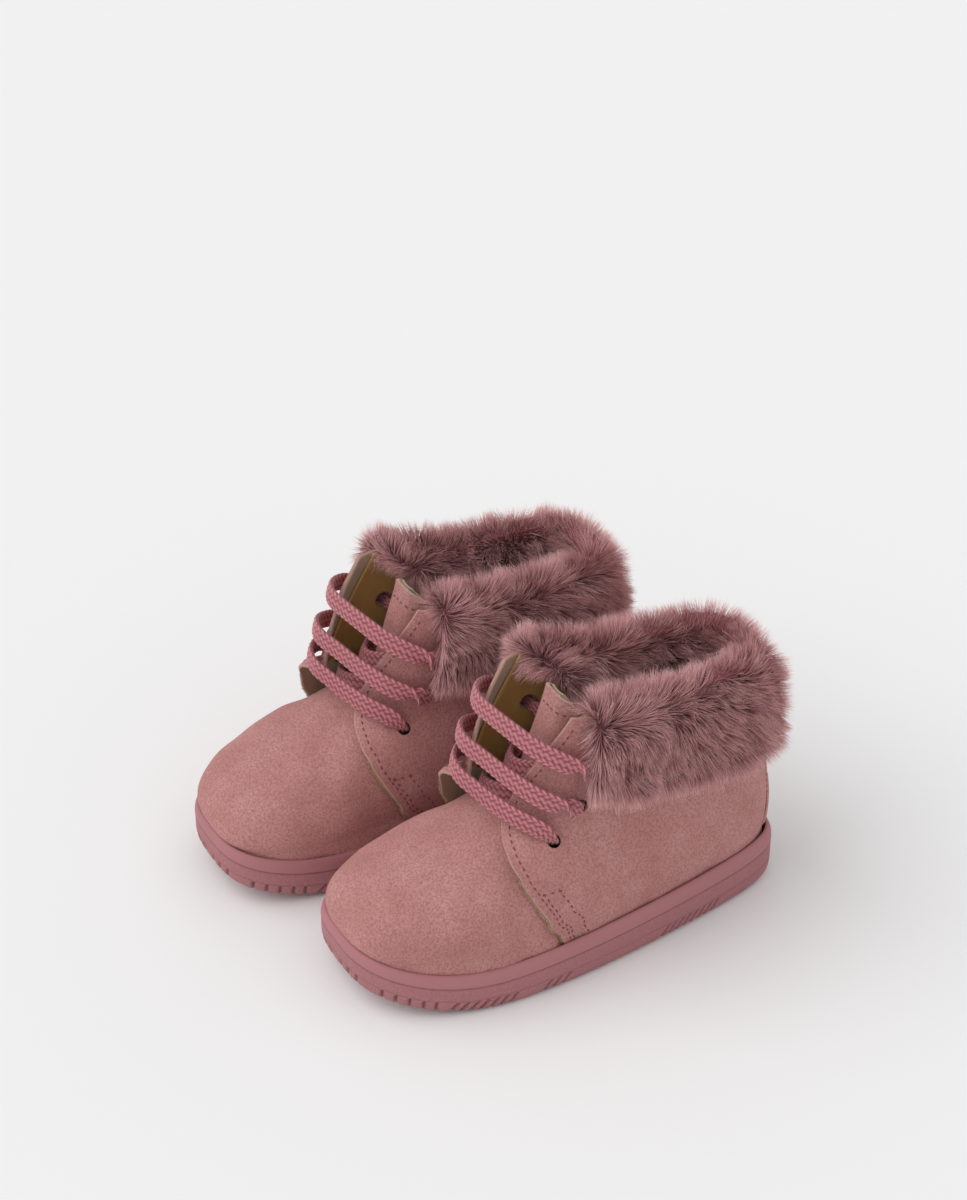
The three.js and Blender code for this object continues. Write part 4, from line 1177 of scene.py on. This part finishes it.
# One strand is a thin three-sided spike; a tree scatters, combs, clumps and dyes them.
def furTree():
    point, number, vector = {"domain": "POINT"}, {"data_type": "FLOAT"}, {"data_type": "FLOAT_VECTOR"}
    tree, inputs = newTree("furPile", {
        "density": "Float", "strandLength": "Float", "strandRadius": "Float", "clumpSize": "Float",
        "clumpPull": "Float", "curl": "Float", "seed": "Int", "pile": "Material"})
    scatter = addNode(tree, "GeometryNodeDistributePointsOnFaces", {"distribute_method": "RANDOM"}, {
        "Mesh": (inputs, "Geometry"), "Density": (inputs, "density"), "Seed": (inputs, "seed")})
    place = addNode(tree, "GeometryNodeInputPosition")
    shade = addNode(tree, "FunctionNodeRandomValue", number, {"Seed": 7})
    rooted = addNode(tree, "GeometryNodeStoreNamedAttribute", {**vector, **point}, {
        "Geometry": scatter, "Name": "rootPlace", "Value": place})
    shaded = addNode(tree, "GeometryNodeStoreNamedAttribute", {**number, **point}, {
        "Geometry": rooted, "Name": "strandShade", "Value": shade})
    # direction: as combed, and stirred by slow swirls
    swirl = addNode(tree, "ShaderNodeTexNoise", None, {
        "Vector": place, "Scale": 1 / (11 * mm), "Detail": 1.0})
    centred = addNode(tree, "ShaderNodeVectorMath", {"operation": "SUBTRACT"}, {
        0: (swirl, "Color"), 1: (0.5, 0.5, 0.5)})
    stirred = addNode(tree, "ShaderNodeVectorMath", {"operation": "SCALE"}, {0: centred, "Scale": 2.6})
    jitter = addNode(tree, "FunctionNodeRandomValue", vector, {
        "Min": (-0.2, -0.2, -0.2), "Max": (0.2, 0.2, 0.2), "Seed": 3})
    combed = addNode(tree, "GeometryNodeInputNamedAttribute", vector, {"Name": "pileWay"})
    way = addNode(tree, "ShaderNodeVectorMath", {"operation": "ADD"}, {0: combed, 1: stirred})
    way = addNode(tree, "ShaderNodeVectorMath", {"operation": "ADD"}, {0: way, 1: jitter})
    turned = addNode(tree, "FunctionNodeAlignRotationToVector", {"axis": "Z"}, {"Vector": way})
    spike = addNode(tree, "GeometryNodeMeshCone", {"fill_type": "NGON"}, {
        "Vertices": 3, "Side Segments": 2, "Radius Top": 0.0, "Radius Bottom": 1.0, "Depth": 1.0})
    split = addNode(tree, "ShaderNodeSeparateXYZ", None, {"Vector": place})
    sideways = addNode(tree, "ShaderNodeMath", {"operation": "MULTIPLY_ADD"}, {
        0: (split, "Y"), 1: 0.4, 2: (split, "X")})
    strand = spike
    for key, share in (("tipShare", (split, "Z")), ("sideShare", sideways)):
        strand = addNode(tree, "GeometryNodeStoreNamedAttribute", {**number, **point}, {
            "Geometry": strand, "Name": key, "Value": share})
    length = addNode(tree, "FunctionNodeRandomValue", number, {"Min": 0.8, "Max": 1.05, "Seed": 11})
    tall = addNode(tree, "ShaderNodeMath", {"operation": "MULTIPLY"}, {
        0: length, 1: (inputs, "strandLength")})
    size = addNode(tree, "ShaderNodeCombineXYZ", None, {
        "X": (inputs, "strandRadius"), "Y": (inputs, "strandRadius"), "Z": tall})
    placed = addNode(tree, "GeometryNodeInstanceOnPoints", None, {
        "Points": shaded, "Instance": strand, "Rotation": turned, "Scale": size})
    real = addNode(tree, "GeometryNodeRealizeInstances", None, {"Geometry": placed})
    # tips lean into their tuft and curl a little
    root = addNode(tree, "GeometryNodeInputNamedAttribute", vector, {"Name": "rootPlace"})
    tip, across, pick = [
        addNode(tree, "GeometryNodeInputNamedAttribute", number, {"Name": key})
        for key in ("tipShare", "sideShare", "strandShade")
    ]
    perClump = addNode(tree, "ShaderNodeMath", {"operation": "DIVIDE"}, {0: 1.0, 1: (inputs, "clumpSize")})
    cells = addNode(tree, "ShaderNodeTexVoronoi", {"feature": "F1"}, {"Vector": root, "Scale": perClump})
    inwards = addNode(tree, "ShaderNodeVectorMath", {"operation": "SUBTRACT"}, {
        0: (cells, "Position"), 1: root})
    bend = addNode(tree, "ShaderNodeTexNoise", None, {"Vector": root, "Scale": 1 / (3.2 * mm), "Detail": 2.0})
    bent = addNode(tree, "ShaderNodeVectorMath", {"operation": "SUBTRACT"}, {
        0: (bend, "Color"), 1: (0.5, 0.5, 0.5)})
    squared = addNode(tree, "ShaderNodeMath", {"operation": "MULTIPLY"}, {0: tip, 1: tip})
    moves = []
    for way, key in ((inwards, "clumpPull"), (bent, "curl")):
        amount = addNode(tree, "ShaderNodeMath", {"operation": "MULTIPLY"}, {0: squared, 1: (inputs, key)})
        moves.append(addNode(tree, "ShaderNodeVectorMath", {"operation": "SCALE"}, {0: way, "Scale": amount}))
    move = addNode(tree, "ShaderNodeVectorMath", {"operation": "ADD"}, {0: moves[0], 1: moves[1]})
    moved = addNode(tree, "GeometryNodeSetPosition", None, {"Geometry": real, "Offset": move})
    # where each strand lies on the baked texture: a narrow upright slot picked by its shade
    bakePlace = addNode(tree, "ShaderNodeCombineXYZ")
    for axis, width, edge, along, span in (("X", 0.008, 0.01, pick, 0.97), ("Y", 0.012, 0.02, tip, 0.94)):
        slot = addNode(tree, "ShaderNodeMath", {"operation": "MULTIPLY_ADD"}, {0: across, 1: width, 2: edge})
        slot = addNode(tree, "ShaderNodeMath", {"operation": "MULTIPLY_ADD"}, {0: along, 1: span, 2: slot})
        tree.links.new(slot.outputs["Value"], bakePlace.inputs[axis])
    mapped = addNode(tree, "GeometryNodeStoreNamedAttribute", {"data_type": "FLOAT2", "domain": "CORNER"}, {
        "Geometry": moved, "Name": "OFBake", "Value": bakePlace})
    dyed = addNode(tree, "GeometryNodeSetMaterial", None, {"Geometry": mapped, "Material": (inputs, "pile")})
    addNode(tree, "NodeGroupOutput", None, {"Geometry": dyed})
    return tree


# Strands over a patch of faces, leaning the given way at each of its points.
def growPile(name, points, faces, ways, density, seed, material, look):
    patch = bpy.data.meshes.new("pilePatch")
    patch.from_pydata(points.tolist(), [], faces)
    setAttribute(patch, "pileWay", ways, "FLOAT_VECTOR")
    pile = applyTree(patch, furNodes, {
        "strandLength": look["strandLength"] * mm, "strandRadius": look["strandRadius"] * mm,
        "clumpSize": look["clump"] * mm, "clumpPull": look["pull"], "curl": look["curl"] * mm,
        "density": density, "seed": seed, "pile": material}, name)
    for key in ("rootPlace", "sideShare", "pileWay"):
        if key in pile.data.attributes:
            pile.data.attributes.remove(pile.data.attributes[key])
    return pile


def makeCuff(name, bootie, seed):
    rings = cuffRings(bootie["hand"])
    count, sides = rings.shape[:2]
    points = standing(rings.reshape(-1, 3), bootie)
    walls = gridQuads(count, sides, closed=True)
    corners = points[walls] - points.mean(axis=0)
    turned = np.einsum("ij,ij->", corners[:, 0], np.cross(corners[:, 1], corners[:, 2])) < 0
    startCap = np.arange(sides)[::-1]
    endCap = np.arange((count - 1) * sides, count * sides)
    if turned:
        walls, startCap, endCap = walls[:, ::-1], startCap[::-1], endCap[::-1]
    mesh = bpy.data.meshes.new(f"{name}_cuffBacking")
    mesh.from_pydata(points.tolist(), [], [*walls.tolist(), startCap.tolist(), endCap.tolist()])
    mesh.materials.append(knitBacking)
    made = placeObject(f"{name}_cuffBacking", mesh)
    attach(made, bootie["body"])
    ways = np.array([list(vertex.normal) for vertex in mesh.vertices]).reshape(count, sides, 3)
    ways[:, :4, 2] -= cuff["comb"]
    ways = ways.reshape(-1, 3)
    # the pile grows on the outer wall, the top and the inside, not where the backing lies on the collar
    grown = walls.reshape(count - 1, sides, 4)[:, : cuff["grownWalls"]]
    area = sum(polygon.area for polygon in mesh.polygons) * cuff["grownWalls"] / sides
    cuts = np.linspace(0, count - 1, cuff["bands"] + 1).astype(int)
    for band, (first, last) in enumerate(zip(cuts[:-1], cuts[1:])):
        faces = grown[first:last].reshape(-1, 4).tolist()
        if band == 0:
            faces.append(startCap.tolist())
        if last == count - 1:
            faces.append(endCap.tolist())
        density = cuff["strands"] / area
        title = f"{name}_furPile{band + 1}"
        pile = growPile(title, points, faces, ways, density, seed + band, acrylicPile, cuff)
        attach(pile, bootie["body"])
        if band == 0:
            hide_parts(f"{name}_fur_cuff")
        print(name, "fur band", band + 1, "has", len(pile.data.polygons), "faces")


# Loose fibres stand off the raw edge of the suede, low on the flap where it was cut thickest.
edgeFibre = {
    "strandLength": 0.9, "strandRadius": 0.07, "clump": 1.2, "pull": 0.3, "curl": 0.8,
    "strands": 900, "bottom": 14, "top": 33, "rows": 60,
    "inset": 0.1, "bandWidth": 0.9,  # the band of the edge's thickness that they stand on
}


def makeEdgeFibres(name, bootie, word, sign, seed):
    side = sign * bootie["hand"]
    heights = np.linspace(edgeFibre["bottom"], edgeFibre["top"], edgeFibre["rows"])
    edge = edgeAt(heights)
    face = flapFace(heights, edge, sign, side)
    back = flapFace(heights, edge + 0.8, sign, side)
    under = skin(heights, edge * sign, layers["quarter"] + liftAt(heights, edge, side))
    forward = face - back
    forward /= np.linalg.norm(forward, axis=1, keepdims=True)
    out = face - under
    out /= np.linalg.norm(out, axis=1, keepdims=True)
    inset = out * edgeFibre["inset"]
    points = standing(np.concatenate([face - inset, under + inset]), bootie)
    ways = np.tile((forward + 0.5 * out) * np.array([bootie["hand"], 1, 1]), (2, 1))
    strip = gridQuads(2, len(heights)).tolist()
    area = float(np.linalg.norm(np.diff(face, axis=0), axis=1).sum()) * edgeFibre["bandWidth"] * mm * mm
    density, title = edgeFibre["strands"] / area, f"{name}_{word}EdgeFibres"
    fibres = growPile(title, points, strip, ways, density, seed, fleshFibre, edgeFibre)
    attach(fibres, bootie["body"])


furNodes = furTree()
for n, (name, bootie) in enumerate(booties.items()):
    for word, sign in (("lateral", 1), ("medial", -1)):
        makeEdgeFibres(name, bootie, word, sign, 51 + 2 * n + sign)
print("raw edges are frayed")
for n, (name, bootie) in enumerate(booties.items()):
    makeCuff(name, bootie, 11 + 10 * n)
print("fur is grown")

# Hidden layers keep their CAD solids, in their own finishes.
hiddenFinish = {
    "insole_board": fibreBoard, "footbed": woolFelt, "vamp_lining": woolFelt, "toe_puff": fibreBoard,
    "tongue_lining": woolFelt, "heel_counter": fibreBoard, "lateral_quarter_lining": woolFelt,
    "medial_quarter_lining": woolFelt, "near_aglet": lacquerTip, "far_aglet": lacquerTip,
}
for name in booties:
    for part, finish in hiddenFinish.items():
        mesh = frame["nodes"][f"{name}_{part}"].data
        mesh.materials.clear()
        mesh.materials.append(finish)
print("hidden layers are finished")
